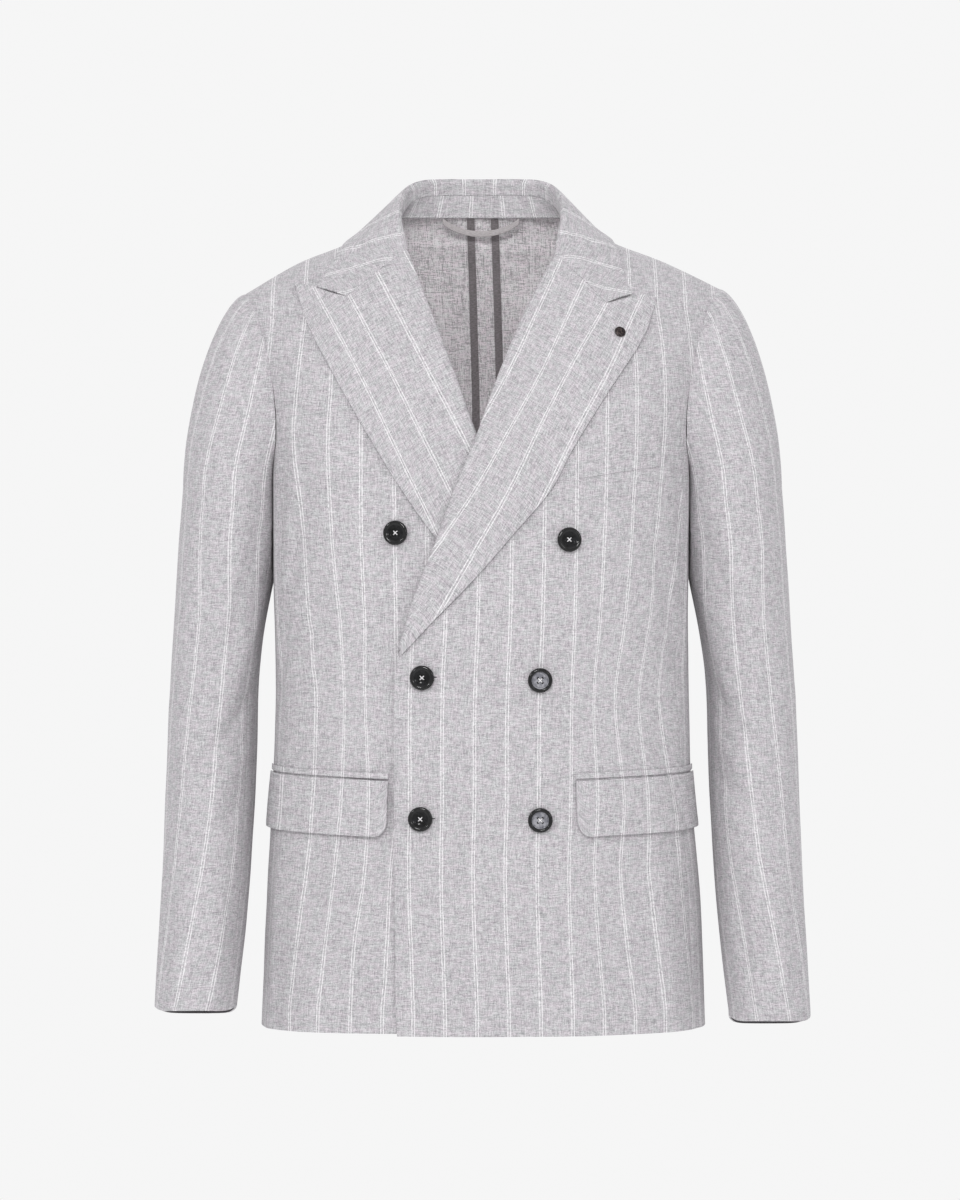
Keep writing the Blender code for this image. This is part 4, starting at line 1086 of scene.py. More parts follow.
def sleeve_point(index, row, cuff, side):
    """A point of a sleeve: rows run from the armhole over the sleeve head to the cuff."""
    turn = sleeve_turn(index)
    across, ahead = cos(radians(turn)), sin(radians(turn))
    upper = arm_point(turn, UPPER_ARM, UPPER_ARM_TILT * across, side)
    if row >= HEAD_ROWS:
        share = (row - HEAD_ROWS) / ARM_ROWS
        tilt = UPPER_ARM_TILT * across * (1 - share) + CUFF_TILT * ahead * share
        tilt += CUFF_CORNER * abs(across) ** 9 * max(share * 3 - 2, 0) ** 2
        return arm_point(turn, UPPER_ARM + (cuff - UPPER_ARM) * share, tilt, side)
    start = ARMHOLES[side][index].copy()
    start.x += side * (SLEEVE_START + SCYE_FOOT_GAP * sin(radians(turn / 2)) ** 6)
    over = row / HEAD_ROWS * pi / 2
    out, up = sin(over) ** (2 / SLEEVE_HEAD_FULLNESS), cos(over) ** (2 / SLEEVE_HEAD_FULLNESS)
    return Vector((*start.xy.lerp(upper.xy, out), upper.z + (start.z - upper.z) * up))


print(f"the left cuff is {2 * ARM_GIRTHS[0][3]:.0f} mm across")

# %% [markdown]
# ## The sleeves
#
# A tailored sleeve has two parts, so that it can bend with the elbow: the top part wraps round the outside
# of the arm and the under part lies against the body. The stripes run down the arm, so their pattern is
# measured round the arm from one stripe.

# %% Stripes of the sleeves
# Where a stripe runs down the sleeves. Columns in mm: height, how far from the front middle, towards the
# body.
LEFT_SLEEVE_STRIPE = [
    (-722, -15), (-631, -5), (-575, 2), (-495, 7.5), (-441, 11), (-369, 12.5), (-297, 7), (-234, 9),
    (-60, 9),
]
RIGHT_SLEEVE_STRIPE = [
    (-722, -18), (-696, -14), (-631, -6.5), (-575, 1), (-495, 6), (-369, 9), (-297, 3), (-234, 3), (-60, 3),
]
# The middle of the arm, carried on above the sleeve head's foot. Columns in mm: height, x, y, half width,
# half depth.
ARM_ABOVE = [*ARM_GIRTHS, (-234, 223, -63, 46, 65), (-180, 211, -62, 46, 65), (-126, 200, -60, 46, 64),
             (-60, 188, -58, 46, 64)]


def by_arm(side):
    drift = LEFT_SLEEVE_STRIPE if side > 0 else RIGHT_SLEEVE_STRIPE

    def pattern(point, column, row, across, along):
        z = point.z / MM
        x, y, half_width, half_depth = read_table(ARM_ABOVE, z)
        out = (side * point.x / MM + (0 if side > 0 else RIGHT_ARM_CLOSER / MM) - x) / half_width
        turn = atan2(-(point.y / MM - y) / half_depth, out) - pi / 2
        if turn < -pi:
            turn += 2 * pi
        arc = half_width * turn + (half_depth - half_width) * (turn - sin(2 * turn) / 2) / 2
        return side * (arc - read_table(drift, z)[0]), z

    return pattern


print("a stripe wanders over", len(LEFT_SLEEVE_STRIPE), "heights of a sleeve")

# %% Sleeves
SLEEVE_SEAM_GAP = 0.06 * MM  # from a sleeve's seam to the edge on either side of it
UNDER_SLEEVE_FIRST, UNDER_SLEEVE_COLUMNS = CAP_COLUMNS + FINER, SIDE_COLUMNS
TOP_SLEEVE_COLUMNS = AROUND_SLEEVE - UNDER_SLEEVE_COLUMNS


def sleeve(name, side, cuff, first, columns):
    """Part of a sleeve, over some columns, whose edges keep clear of the other part's."""
    rows = HEAD_ROWS + ARM_ROWS

    def where(column, row):
        column = columns - column if side > 0 else column
        index = (first + column) % AROUND_SLEEVE
        row = rows - row
        point = sleeve_point(index, row, cuff, side)
        if column in (0, columns):
            inward = 1 if column == 0 else -1
            beside = sleeve_point((index + inward) % AROUND_SLEEVE, row, cuff, side)
            point += (beside - point).normalized() * SLEEVE_SEAM_GAP
        return point

    def folds(point):
        x, y, half_width, half_depth = read_table(ARM_ABOVE, point.z / MM)
        turn = atan2(-(point.y / MM - y) / half_depth, (side * point.x / MM - x) / half_width)
        table = LEFT_SLEEVE_FOLDS if side > 0 else RIGHT_SLEEVE_FOLDS
        return fold_depth(table, SLEEVE_ARC, turn * 180 / pi, point.z / MM)

    return cloth(name, columns, rows, where, by_arm(side), folds, (SUITING, LINING_PAINTED_SHADE))


sleeves = {}
for name, side, cuff in (("left", 1, LEFT_CUFF), ("right", -1, RIGHT_CUFF)):
    sleeves[name + "_under"] = sleeve(name + "_under_sleeve_cloth", side, cuff, UNDER_SLEEVE_FIRST,
                                      UNDER_SLEEVE_COLUMNS)
    sleeves[name + "_top"] = sleeve(name + "_top_sleeve_cloth", side, cuff,
                                    UNDER_SLEEVE_FIRST + UNDER_SLEEVE_COLUMNS, TOP_SLEEVE_COLUMNS)
print("two sleeves of", HEAD_ROWS + ARM_ROWS, "rows each")

# %% [markdown]
# ## The lapels
#
# A lapel is the turned-out edge of its front. Cut in one with the front it would need a fold that pinches,
# so it is a sheet of its own: it starts at the roll line, curls over, and lies on the front as far as its
# outer edge. Its peak points up past the notch.

# %% Edges of the lapels
# Edges that show from the front, as (x, z) in mm.
LEFT_LAPEL_EDGE = [(155, -85), (141.6, -121), (107.8, -174), (78.5, -222), (60, -256), (24, -299),
                   (1.7, -325), (-18, -346), (-45, -374), (-70, -400)]
RIGHT_LAPEL_EDGE = [(-166, -69), (-150, -112), (-130, -151), (-102, -202), (-72, -250),
                    (-37.4, -299), (-5, -326), (18, -346), (45, -374), (70, -400)]
LEFT_NOTCH = (110, -91)
RIGHT_NOTCH = (-118, -85)
LEFT_PEAK_TOP = [(121, -88), (142, -82), (155, -85)]
RIGHT_PEAK_TOP = [(-131, -81), (-147, -75), (-166, -69)]
# Where the stripes of the lapels run. Columns in mm: height, then x of stripes 0, 1 and 2.
LEFT_LAPEL_STRIPES = [
    (-380, -90, -46, -10), (-313, -44, -7.8, 28), (-255, -4.7, 25, 57.7), (-200, 26.7, 51.4, 85),
    (-150, 54, 76.7, 112), (-90, 81.6, 110.5, 139), (-40, 104, 136, 166),
]
RIGHT_LAPEL_STRIPES = [
    (-380, 4, 35, 64), (-300, -35, -5.5, 26), (-225, -71.4, -43, -8), (-150, -107.8, -80.6, -46.6),
    (-85, -142.5, -115, -80), (-40, -166, -138, -103),
]
LAPEL_NUMBERS = (0, 1, 2)
print("the left peak is at", LEFT_PEAK_TOP[-1])

# %% Lapels
LAPEL_LIFT, LAPEL_EDGE_LIFT = 3.1 * MM, 3.7 * MM  # above its front, at the roll and at the outer edge
ROLL_STEP = 0.02  # share of the roll line that its direction is measured over
# The rolled edge of a lapel. Columns in mm: distance past the roll line, lift.
LAPEL_CURL = [(2.1, -0.2), (1.9, 1.4), (0.4, 2.7)]
CURL_COLUMNS = 6
GORGE_SEAM = 0.1  # mm of height from the gorge to the lapel below it and to the collar above it
LEAST_FLAT = 3 * MM  # a place further than this from the even one lies past the edge of the front
LAPEL_ROWS = 2 * ROLL_ROWS
GORGE_COLUMNS, PEAK_COLUMNS = 4 * FINER, 3 * FINER  # along the gorge, and from there to the peak


def lapel(name, front, roll, outer, top, side, depth, pattern):
    """A lapel, lying on its front: rows run down from the gorge and the peak to the break, columns
    out from the roll."""
    tree = sheets_tree([front])
    notch = with_shares(top)[1][0]
    shares = [notch * i / GORGE_COLUMNS for i in range(1, GORGE_COLUMNS + 1)]
    shares += [notch + (1 - notch) * i / PEAK_COLUMNS for i in range(1, PEAK_COLUMNS + 1)]
    columns = CURL_COLUMNS + len(shares) - 1

    def flat(across, down):
        """Where the lapel shows from the front, between its four edges."""
        left, right = along_curve(roll, down), along_curve(outer, down)
        upper = along_line(top, across)
        lower = Vector(roll[-1]).lerp(Vector(outer[-1]), across)
        corners = Vector(roll[0]).lerp(Vector(outer[0]), across) * (1 - down) + lower * down
        return left.lerp(right, across) + upper * (1 - down) + lower * down - corners

    def where(column, row):
        if side < 0:
            column = columns - column
        down = 1 - row / LAPEL_ROWS
        if column < CURL_COLUMNS:
            past, lift = along_curve(LAPEL_CURL, column / (CURL_COLUMNS - 1))
            before, after = (along_curve(roll, down + step) for step in (-ROLL_STEP, ROLL_STEP))
            run = (after - before).normalized()
            x, z = along_curve(roll, down) + Vector((run.y, -run.x)) * past * side
            z = min(z, roll[0][1])
            lift *= MM
        else:
            across = shares[column - CURL_COLUMNS]
            x, z = flat(across, down)
            lift = LAPEL_LIFT + (LAPEL_EDGE_LIFT - LAPEL_LIFT) * across
        if row == LAPEL_ROWS:
            z -= GORGE_SEAM
        even = on_front(x * MM, z * MM, lift + depth(on_front(x * MM, z * MM, 0)))
        place, normal = seen_at(tree, x * MM, z * MM)
        if place is None or column < CURL_COLUMNS or (place + normal * lift - even).length > LEAST_FLAT:
            return even
        return place + normal * lift

    return cloth(name, columns, LAPEL_ROWS, where, pattern)


left_top = [LEFT_ROLL[0], LEFT_NOTCH, *LEFT_PEAK_TOP]
right_top = [RIGHT_ROLL[0], RIGHT_NOTCH, *RIGHT_PEAK_TOP]
left_lapel = lapel("left_lapel_cloth", left_front, LEFT_ROLL, LEFT_LAPEL_EDGE, left_top, 1, no_depth,
                   by_stripes(LEFT_LAPEL_STRIPES, LAPEL_NUMBERS))
right_lapel = lapel("right_lapel_cloth", right_front, RIGHT_ROLL, RIGHT_LAPEL_EDGE, right_top, -1, underlap,
                    by_stripes(RIGHT_LAPEL_STRIPES, LAPEL_NUMBERS))
print("the lapels are turned")

# %% [markdown]
# ## The form of the collar
#
# The collar stands inside the neck, folds over and falls to its outer edge. Its fold and its edge are two
# curves from the centre back to the gorge, the seam where collar and lapel meet. Inside the fold it tapers
# to nothing at its front ends, so that it lies flat under the lapels' tops.

# %% Lines of the collar
# Collar, from the centre back to the gorge. Columns: share of the way, then in mm the fold's x, y, z
# and the outer edge's x, y, z on the left side, and how much wider the edge lies on the right side.
COLLAR = [
    (0.00, 0, 3, 34, 0, 17, -14, 0),
    (0.15, 28, 1.5, 34.2, 36, 14, -15, 0),
    (0.30, 52, -10, 32, 76, 2, -18, 1),
    (0.45, 66, -28, 25, 104, -24, -21, 3),
    (0.60, 73, -52, 12, 115, -54, -27, 4),
    (0.75, 74, -76, -6, 120, -80, -45, 7),
    (0.88, 70.5, -92, -27, 126, -100, -64, 10),
    (1.00, 68, -103, -44, 133, -119, -82, 12),
]
COLLAR_TURN = 12 * MM  # height of the fall's own strip inside the neck
COLLAR_FOLD = 2.6 * MM  # half the thickness of the folded collar at its top
# The inside of the fold: how far in it lies, as a share of the fold, and how much of its drop is gone
# at the front ends.
INSIDE_FOLD_DEPTH, INSIDE_FOLD_TAPER = 0.8, 0.85
# The folded edge of the collar where it meets a lapel, from inside. Columns in mm: distance past the
# roll line, lift.
COLLAR_CURL = [(2.1, -3.6), (2.3, -0.8), (1.9, 1.6)]


def collar_line(share):
    """The fold, the outer edge and the outward direction at a share of the way, -1 to 1."""
    side = 1 if share >= 0 else -1
    values = read_table(COLLAR, abs(share))
    fold, edge = Vector(values[0:3]) * MM, Vector(values[3:6]) * MM
    if side < 0:
        edge.x += values[6] * MM
    out = Vector((edge.x - fold.x, edge.y - fold.y, 0)).normalized()
    for vector in (fold, edge, out):
        vector.x *= side
    return fold, edge, out


def inside_fold(share, drop):
    """A point on the inside of the collar, at a drop under the fold that tapers to the ends."""
    fold, _, out = collar_line(share)
    inner = fold - out * COLLAR_FOLD * INSIDE_FOLD_DEPTH
    inner.z -= drop * (1 - INSIDE_FOLD_TAPER * smooth_step(abs(share), 0.5, 1))
    return inner


print(f"the collar is {-COLLAR[0][6] + COLLAR[0][3]:.0f} mm high at the back")

# %% [markdown]
# ## The leaf of the collar
#
# The leaf is a curved strip that has to end exactly along the gorge and open a narrow notch above it. So its
# ends are placed first, and its last stations come down to them. Where the leaf would sink into a shoulder
# it is pushed out, and the pushes are smoothed so that they leave no bump.

# %% Front ends of the leaf
LEFT_COLLAR_END, RIGHT_COLLAR_END = (133, -82), (-145, -75.5)  # the collar's front corners, as (x, z) in mm
COLLAR_LIFT = 3.8 * MM  # of the leaf above the shoulders
NOTCH_OPEN = 0.9  # mm of height that the notch opens
TURN_ROWS = 2 * FINER  # of the strip inside the neck
FALL_ROWS, FALL_GORGE_ROWS = 5 * FINER, 4 * FINER  # at its front ends, the latter run along the gorge
GORGE_LIFT_SHARE = 0.6  # how much of the lapel's growing lift the leaf shares at the notch


def collar_end(side, row):
    """The front end of the collar: down the gorge to the notch, then out to the collar's corner."""
    roll = LEFT_ROLL if side > 0 else RIGHT_ROLL
    notch = LEFT_NOTCH if side > 0 else RIGHT_NOTCH
    corner = LEFT_COLLAR_END if side > 0 else RIGHT_COLLAR_END
    share, beyond = max(row, 0) / FALL_GORGE_ROWS, 0
    if share > 1:
        share, beyond = 1, (row - FALL_GORGE_ROWS) / (FALL_ROWS - FALL_GORGE_ROWS)
    x, z = Vector(roll[0]).lerp(Vector(notch), share).lerp(Vector(corner), beyond)
    lift = LAPEL_LIFT + (LAPEL_EDGE_LIFT - LAPEL_LIFT) * share * GORGE_LIFT_SHARE
    lift += (COLLAR_LIFT - LAPEL_EDGE_LIFT) * beyond
    if row <= 0:
        past, lift = along_curve([*COLLAR_CURL, LAPEL_CURL[-1]], 1 + row / TURN_ROWS)
        x, lift = x - side * past, lift * MM
    return on_front(x * MM, (z + GORGE_SEAM + sin(pi * beyond) * NOTCH_OPEN) * MM, lift)


print(FALL_GORGE_ROWS, "of", FALL_ROWS, "rows run along the gorge")

# %% Leaf of the collar
COLLAR_STATIONS = 14 * FINER  # on each side of the centre back
END_SHARE = 3 / 14  # over which the leaf comes down to its front end
PUSH_REACH, PUSH_PASSES = 3 * MM, 4  # past an edge, and how often the pushes are smoothed
MIDDLE_ARCS = {"fall": 16, "stand": 9}  # where the pattern is at the centre back, in mm from a stripe


def arcs_from_middle(points):
    """How far along a line each of its points lies from the middle one."""
    far = cumulative([points])[0]
    return [length - far[len(points) // 2] for length in far]


def smoothed(grid, passes):
    """A grid of vectors, each taking on something of the four beside it."""
    for _ in range(passes):
        last, end = len(grid) - 1, len(grid[0]) - 1
        grid = [[(grid[i][j] * 2 + grid[max(i - 1, 0)][j] + grid[min(i + 1, last)][j]
                  + grid[i][max(j - 1, 0)] + grid[i][min(j + 1, end)]) / 6
                 for j in range(end + 1)] for i in range(last + 1)]
    return grid


def collar_fall(panels):
    """The leaf of the collar: up inside the neck, over the fold and down to its outer edge."""
    tree = sheets_tree(panels)

    def leaf(share, row):
        fold, edge, out = collar_line(share)
        if row < TURN_ROWS:
            return inside_fold(share, COLLAR_TURN * (1 - row / TURN_ROWS) + COLLAR_FOLD)
        down = (row - TURN_ROWS) / FALL_ROWS
        crest = fold + out * COLLAR_FOLD * 2 - Vector((0, 0, COLLAR_FOLD))
        return fold * (1 - down) ** 2 + crest * 2 * down * (1 - down) + edge * down**2

    def bent(column, row):
        share = column / COLLAR_STATIONS - 1
        side = 1 if share > 0 else -1
        near = smooth_step(abs(share), 1 - END_SHARE, 1)
        return leaf(share, row) + (ends[side][row] - leaf(side, row)) * near

    def push(column, row):
        """What keeps a point of the leaf clear of the shoulders and the back."""
        point = bent(column, row)
        place, normal, _, _ = tree.find_nearest(point)
        lift = (point - place).dot(normal)
        beside = (point - place - normal * lift).length
        share = smooth_step(row - TURN_ROWS, FALL_ROWS * 0.25, FALL_ROWS * 0.5)
        share *= 1 - smooth_step(abs(column / COLLAR_STATIONS - 1), 1 - END_SHARE, 1)
        return normal * max(COLLAR_LIFT - lift, 0) * share * max(1 - beside / PUSH_REACH, 0)

    def where(column, row):
        return bent(column, row) + pushes[column][row]

    ends = {side: [collar_end(side, row - TURN_ROWS) for row in range(TURN_ROWS + FALL_ROWS + 1)]
            for side in (1, -1)}
    rows = range(TURN_ROWS + FALL_ROWS + 1)
    pushes = smoothed([[push(column, row) for row in rows] for column in range(2 * COLLAR_STATIONS + 1)],
                      PUSH_PASSES)
    folds = [collar_line(column / COLLAR_STATIONS - 1)[0] for column in range(2 * COLLAR_STATIONS + 1)]
    arcs = arcs_from_middle(folds)

    def pattern(point, column, row, across, along):
        run = folds[min(column + 1, len(folds) - 1)] - folds[max(column - 1, 0)]
        beside = (point - folds[column]).dot(run.normalized()) if row > TURN_ROWS else 0
        return MIDDLE_ARCS["fall"] + (arcs[column] + beside) / MM, along[row] / MM

    return cloth("collar_fall_cloth", 2 * COLLAR_STATIONS, TURN_ROWS + FALL_ROWS, where, pattern)


fall = collar_fall([left_front, right_front, left_back, right_back])
print("the leaf of the collar has", len(fall.data.polygons), "squares")

# %% [markdown]
# ## The collar stand
#
# The stand is the band that holds the collar up. It is sewn to the neckline below and to the leaf's inner
# edge above, so it is drawn between those two lines. It is cut from the same cloth, whose right side faces
# the neck.

# %% Collar stand
STAND_STATIONS = 11 * FINER  # on each side of the centre back
STAND_ROWS = 2 * FINER
STAND_SEAM, STAND_INWARD, STAND_LOWER = 0.15 * MM, 2.6 * MM, 1.5 * MM  # from the leaf, and from the neckline
BACK_NECK_SHARE = 0.6  # of the stand, which lies along the back of the neck


def neck_seam(share):
    """The seam between the collar stand and the body, at a share of the way, -1 to 1."""
    side = 1 if share >= 0 else -1
    share = abs(share)
    if share <= BACK_NECK_SHARE:
        point = torso(180 - (180 - BACK_NECK_AZIMUTH) * share / BACK_NECK_SHARE, 1)
    else:
        gorge = place_at(LEFT_ROLL[0][0] * MM, LEFT_ROLL[0][1] * MM)
        corner = Vector((FRONT_NECK_AZIMUTH, 1))
        point = torso(*corner.lerp(gorge, (share - BACK_NECK_SHARE) / (1 - BACK_NECK_SHARE)))
    point.x *= side
    return point


def collar_stand():
    def where(column, row):
        share = (column - STAND_STATIONS) / COLLAR_STATIONS
        top = inside_fold(share, COLLAR_TURN + COLLAR_FOLD)
        top.z -= STAND_SEAM * (1 + 4 * smooth_step(abs(share), 0.45, 0.7))
        bottom = neck_seam(share) - collar_line(share)[2] * STAND_INWARD
        bottom.z -= STAND_LOWER
        return bottom.lerp(top, row / STAND_ROWS)

    arcs = arcs_from_middle([where(column, STAND_ROWS // 2) for column in range(2 * STAND_STATIONS + 1)])

    def pattern(point, column, row, across, along):
        return MIDDLE_ARCS["stand"] + arcs[column] / MM, along[row] / MM

    return cloth("collar_stand_cloth", 2 * STAND_STATIONS, STAND_ROWS, where, pattern)


stand = collar_stand()
print("the stand of the collar has", len(stand.data.polygons), "squares")

# %% [markdown]
# ## The side pockets
#
# Each pocket shows a flap with rounded corners, which hangs from a narrow folded edge, the welt. A flap
# lies close to the cloth at its top and stands away a little at its lower edge. Its stripes match the
# front's, so it takes the front's pattern.

# %% Places on the body
POCKET_FRONT, POCKET_BACK = 36.5, 86  # azimuths of the ends of the side pockets
POCKET_TOP = -509 * MM
POCKET_RISE = 5 * MM  # the back end lies this much higher


def on_girth(azimuth, height, lift):
    level = level_at(azimuth, height)
    return torso(azimuth, level) + torso_normal(azimuth, level) * lift


left_pattern = by_stripes(LEFT_FRONT_STRIPES, LEFT_FRONT_NUMBERS)
right_pattern = by_stripes(RIGHT_FRONT_STRIPES, RIGHT_FRONT_NUMBERS)
print(f"the pockets are {-POCKET_TOP:.3f} m below the nape")

# %% Flaps
FLAP_LENGTH, FLAP_HEIGHT = 150 * MM, 49 * MM
FLAP_LIFT, FLAP_STAND_AWAY = 2.4 * MM, 1.8 * MM  # at its top, and what its lower edge adds
# Where the columns of a flap lie, as shares of its length, closer together at the round corners.
FLAP_COLUMNS = [0, 0.02, 0.05, 0.1, 0.2, 0.32, 0.45, 0.58, 0.7, 0.82, 0.92, 0.98, 1]
FLAP_ROWS = 4 * FINER
FLAP_FRONT_ROUND, FLAP_BACK_ROUND = 13 * MM, 5 * MM


def flap(name, side, pattern):
    """A pocket flap, hanging a little away from the body, with rounded lower corners."""
    columns = (len(FLAP_COLUMNS) - 1) * FINER

    def where(column, row):
        at = (column if side > 0 else columns - column) / FINER
        low = min(int(at), len(FLAP_COLUMNS) - 2)
        share = FLAP_COLUMNS[low] + (at - low) * (FLAP_COLUMNS[low + 1] - FLAP_COLUMNS[low])
        top = POCKET_TOP + POCKET_RISE * share
        bottom = top - FLAP_HEIGHT
        for radius, off in ((FLAP_FRONT_ROUND, share), (FLAP_BACK_ROUND, 1 - share)):
            short = max(radius - off * FLAP_LENGTH, 0)
            bottom += radius - (radius**2 - short**2) ** 0.5
        down = 1 - row / FLAP_ROWS
        azimuth = POCKET_FRONT + share * (POCKET_BACK - POCKET_FRONT)
        return on_girth(side * azimuth, top + (bottom - top) * down, FLAP_LIFT + FLAP_STAND_AWAY * down)

    return cloth(name, columns, FLAP_ROWS, where, pattern, body_folds)


left_flap = flap("left_flap_cloth", 1, left_pattern)
right_flap = flap("right_flap_cloth", -1, right_pattern)
print(f"a flap is {FLAP_LENGTH:.3f} by {FLAP_HEIGHT:.3f} m")

# %% Welts
WELT_HEIGHT, WELT_LIFT, WELT_COLUMNS, WELT_ROWS = 5 * MM, 1.8 * MM, 12 * FINER, 3


def pocket_welt(name, side, pattern):
    """The narrow folded edge above a flap."""
    def where(column, row):
        share = column / WELT_COLUMNS if side > 0 else 1 - column / WELT_COLUMNS
        height = POCKET_TOP + POCKET_RISE * share + CLOTH + row / WELT_ROWS * WELT_HEIGHT
        azimuth = POCKET_FRONT + share * (POCKET_BACK - POCKET_FRONT)
        return on_girth(side * azimuth, height, WELT_LIFT)

    return cloth(name, WELT_COLUMNS, WELT_ROWS, where, pattern, body_folds, thickness=TRIM)


left_welt = pocket_welt("left_welt_cloth", 1, left_pattern)
right_welt = pocket_welt("right_welt_cloth", -1, right_pattern)
print("a welt is", round(WELT_HEIGHT / MM), "mm high")

# %% [markdown]
# ## The breast pocket
#
# The breast pocket is a sloping band of the same cloth, sewn flat on the left front. Its stripes run on from
# the front's, so that it hardly shows.

# %% Breast pocket
BREAST_POCKET = [(84, -246), (157, -234), (157, -205), (84, -218)]  # its corners, as (x, z) in mm
BREAST_LIFT, BREAST_COLUMNS, BREAST_ROWS = 1.9 * MM, 6 * FINER, 2 * FINER


def breast_pocket(pattern):
    low_front, low_back, high_back, high_front = (Vector(corner) * MM for corner in BREAST_POCKET)

    def where(column, row):
        across, up = column / BREAST_COLUMNS, row / BREAST_ROWS
        x, z = low_front.lerp(low_back, across).lerp(high_front.lerp(high_back, across), up)
        return on_front(x, z, BREAST_LIFT * 0.6)

    return cloth("breast_pocket_cloth", BREAST_COLUMNS, BREAST_ROWS, where, pattern, body_folds,
                 thickness=TRIM)


breast = breast_pocket(left_pattern)
print("the breast pocket is on")

# %% [markdown]
# ## The hanger loop
#
# A short tape at the nape hangs the jacket up. It sags between its ends, so its line is part of a curve that
# is flat in the middle and steep at the ends.

# %% Hanger loop
LOOP_HALF_SPAN, LOOP_SAG, LOOP_WIDTH = 35 * MM, 12 * MM, 5.5 * MM
LOOP_TOP, LOOP_COLUMNS = -4 * MM, 16 * FINER
LOOP_DEPTH, LOOP_END_DEPTH = -3.5 * MM, 3 * MM  # in front of the nape, and what its ends add
LOOP_ROWS = 3


def hanger_loop():
    """The tape at the nape that the jacket is hung by, sagging between its ends."""
    def where(column, row):
        share = 2 * column / LOOP_COLUMNS - 1
        x, y = share * LOOP_HALF_SPAN, LOOP_DEPTH - LOOP_END_DEPTH * share**2
        middle = LOOP_TOP - LOOP_SAG * (1 - share**2) ** 0.8
        return Vector((x, y, middle + (row / LOOP_ROWS - 0.5) * LOOP_WIDTH))

    return cloth("hanger_loop_tape", LOOP_COLUMNS, LOOP_ROWS, where, by_seam(0, False), finish=(LOOP_TAPE,),
                 thickness=TRIM)


loop = hanger_loop()
print("the loop spans", round(2 * LOOP_HALF_SPAN / MM), "mm")

# %% [markdown]
# ## The seam tapes
#
# The centre back seam is pressed open inside, with each raw edge bound in tape. Two strips follow the
# seam at a small distance, a hair inside the cloth.

# %% Seam tapes
TAPE_WIDTH, TAPE_SPREAD = 7 * MM, 11 * MM  # the spread is from the seam to the middle of a tape
TAPE_TOP = 0.97  # the level where a tape ends, just under the collar
TAPE_DEPTH = CLOTH / 2 + 0.3 * MM + TRIM  # of a tape's middle inside the middle of the cloth


def seam_tape(name, side):
    """The binding of one edge of the open centre back seam, on the inside."""
    tops = [min(row_level(row), TAPE_TOP) for row in range(PANEL_ROWS + 1)]
    offs = [side * TAPE_SPREAD + (0.5 - column / 2) * TAPE_WIDTH for column in range(3)]
    edges = [[beside_back_seam(level, off) for level in tops] for off in offs]

    def where(column, row):
        level, azimuth = tops[row], edges[column][row]
        return torso(azimuth, level) + torso_normal(azimuth, level) * -TAPE_DEPTH

    return cloth(name, 2, PANEL_ROWS, where, by_seam(0, False), body_folds, (BINDING,), TRIM)


left_tape, right_tape = seam_tape("left_seam_binding", 1), seam_tape("right_seam_binding", -1)
print("the centre seam is bound")

# %% [markdown]
# ## Horn, thread and metal
#
# The buttons are polished horn, nearly black, with paler streaks. The thread is spun from plies, and the
# stud is brushed dark metal. Small noises in the piece's own space give each of them its streaks, its twist
# and its wear, and a clear coat gives the horn its gloss.

# %% Horn
def horn(name, dark, pale, roughness, coat):
    """Horn, streaked from a dark colour to a paler one."""
    made, tree, shader = new_material(name, roughness, {"Coat Weight": coat, "Coat Roughness": 0.11,
                                                        "Specular IOR Level": 0.03})
    streaks = noise_in_space(tree, 150.0, 3.0, 2.0)
    feed(shader, "Base Color", streaks.ramp(0.35, 0.72).mix((*dark, 1), (*pale, 1)))
    feed(shader, "Roughness", streaks * 0.3 + (roughness - 0.15))
    return made


BLACK = (0.002, 0.002, 0.002)
POLISHED = horn("horn_polished", BLACK, (0.012, 0.012, 0.014), 0.26, 0.4)
RIM = horn("horn_rim", BLACK, (0.006, 0.006, 0.007), 0.22, 0.8)
# painted reflection: the plate buttons' pale grey face is partly the horn's colour and partly a painted
# reflection of the bright room in their flat faces
DULL_PAINTED_REFLECTION = horn("horn_dull_painted_reflection", (0.17, 0.17, 0.19), (0.36, 0.36, 0.385), 0.45, 0.15)
print("horn in three finishes")

# %% Thread and metal
def spun_yarn(name, dark, pale):
    """Sewing thread, with the twist of its plies."""
    made, tree, shader = new_material(name, 0.8)
    plies = noise_in_space(tree, 1500.0, 2.0)
    feed(shader, "Base Color", plies.ramp(0.35, 0.65).mix((*dark, 1), (*pale, 1)))
    emboss(shader, plies, 0.1)
    return made


def dark_metal():
    """Brushed dark metal with a little wear."""
    made, tree, shader = new_material("dark_metal", 0.35, metallic=0.8)
    worn = noise_in_space(tree, 700.0, 3.0)
    feed(shader, "Base Color", worn.ramp(0.4, 0.75).mix((0.025, 0.02, 0.022, 1), (0.12, 0.09, 0.08, 1)))
    feed(shader, "Roughness", worn * 0.35 + 0.2)
    return made


THREAD = spun_yarn("thread", (0.62, 0.61, 0.62), (0.86, 0.85, 0.86))
DARK_THREAD = spun_yarn("dark_thread", (0.03, 0.03, 0.035), (0.09, 0.085, 0.09))
METAL = dark_metal()
print("horn, thread and metal are mixed")

# %% [markdown]
# ## A button
#
# A horn button is turned on a lathe, so it is spun from a profile. The polished ones are a shallow bowl
# with a wide round rim, and the duller ones a flat plate with a groove inside the rim. Face and rim get
# finishes of their own. The four holes are drilled with a boolean, which leaves cleaner edges than opening
# faces would.

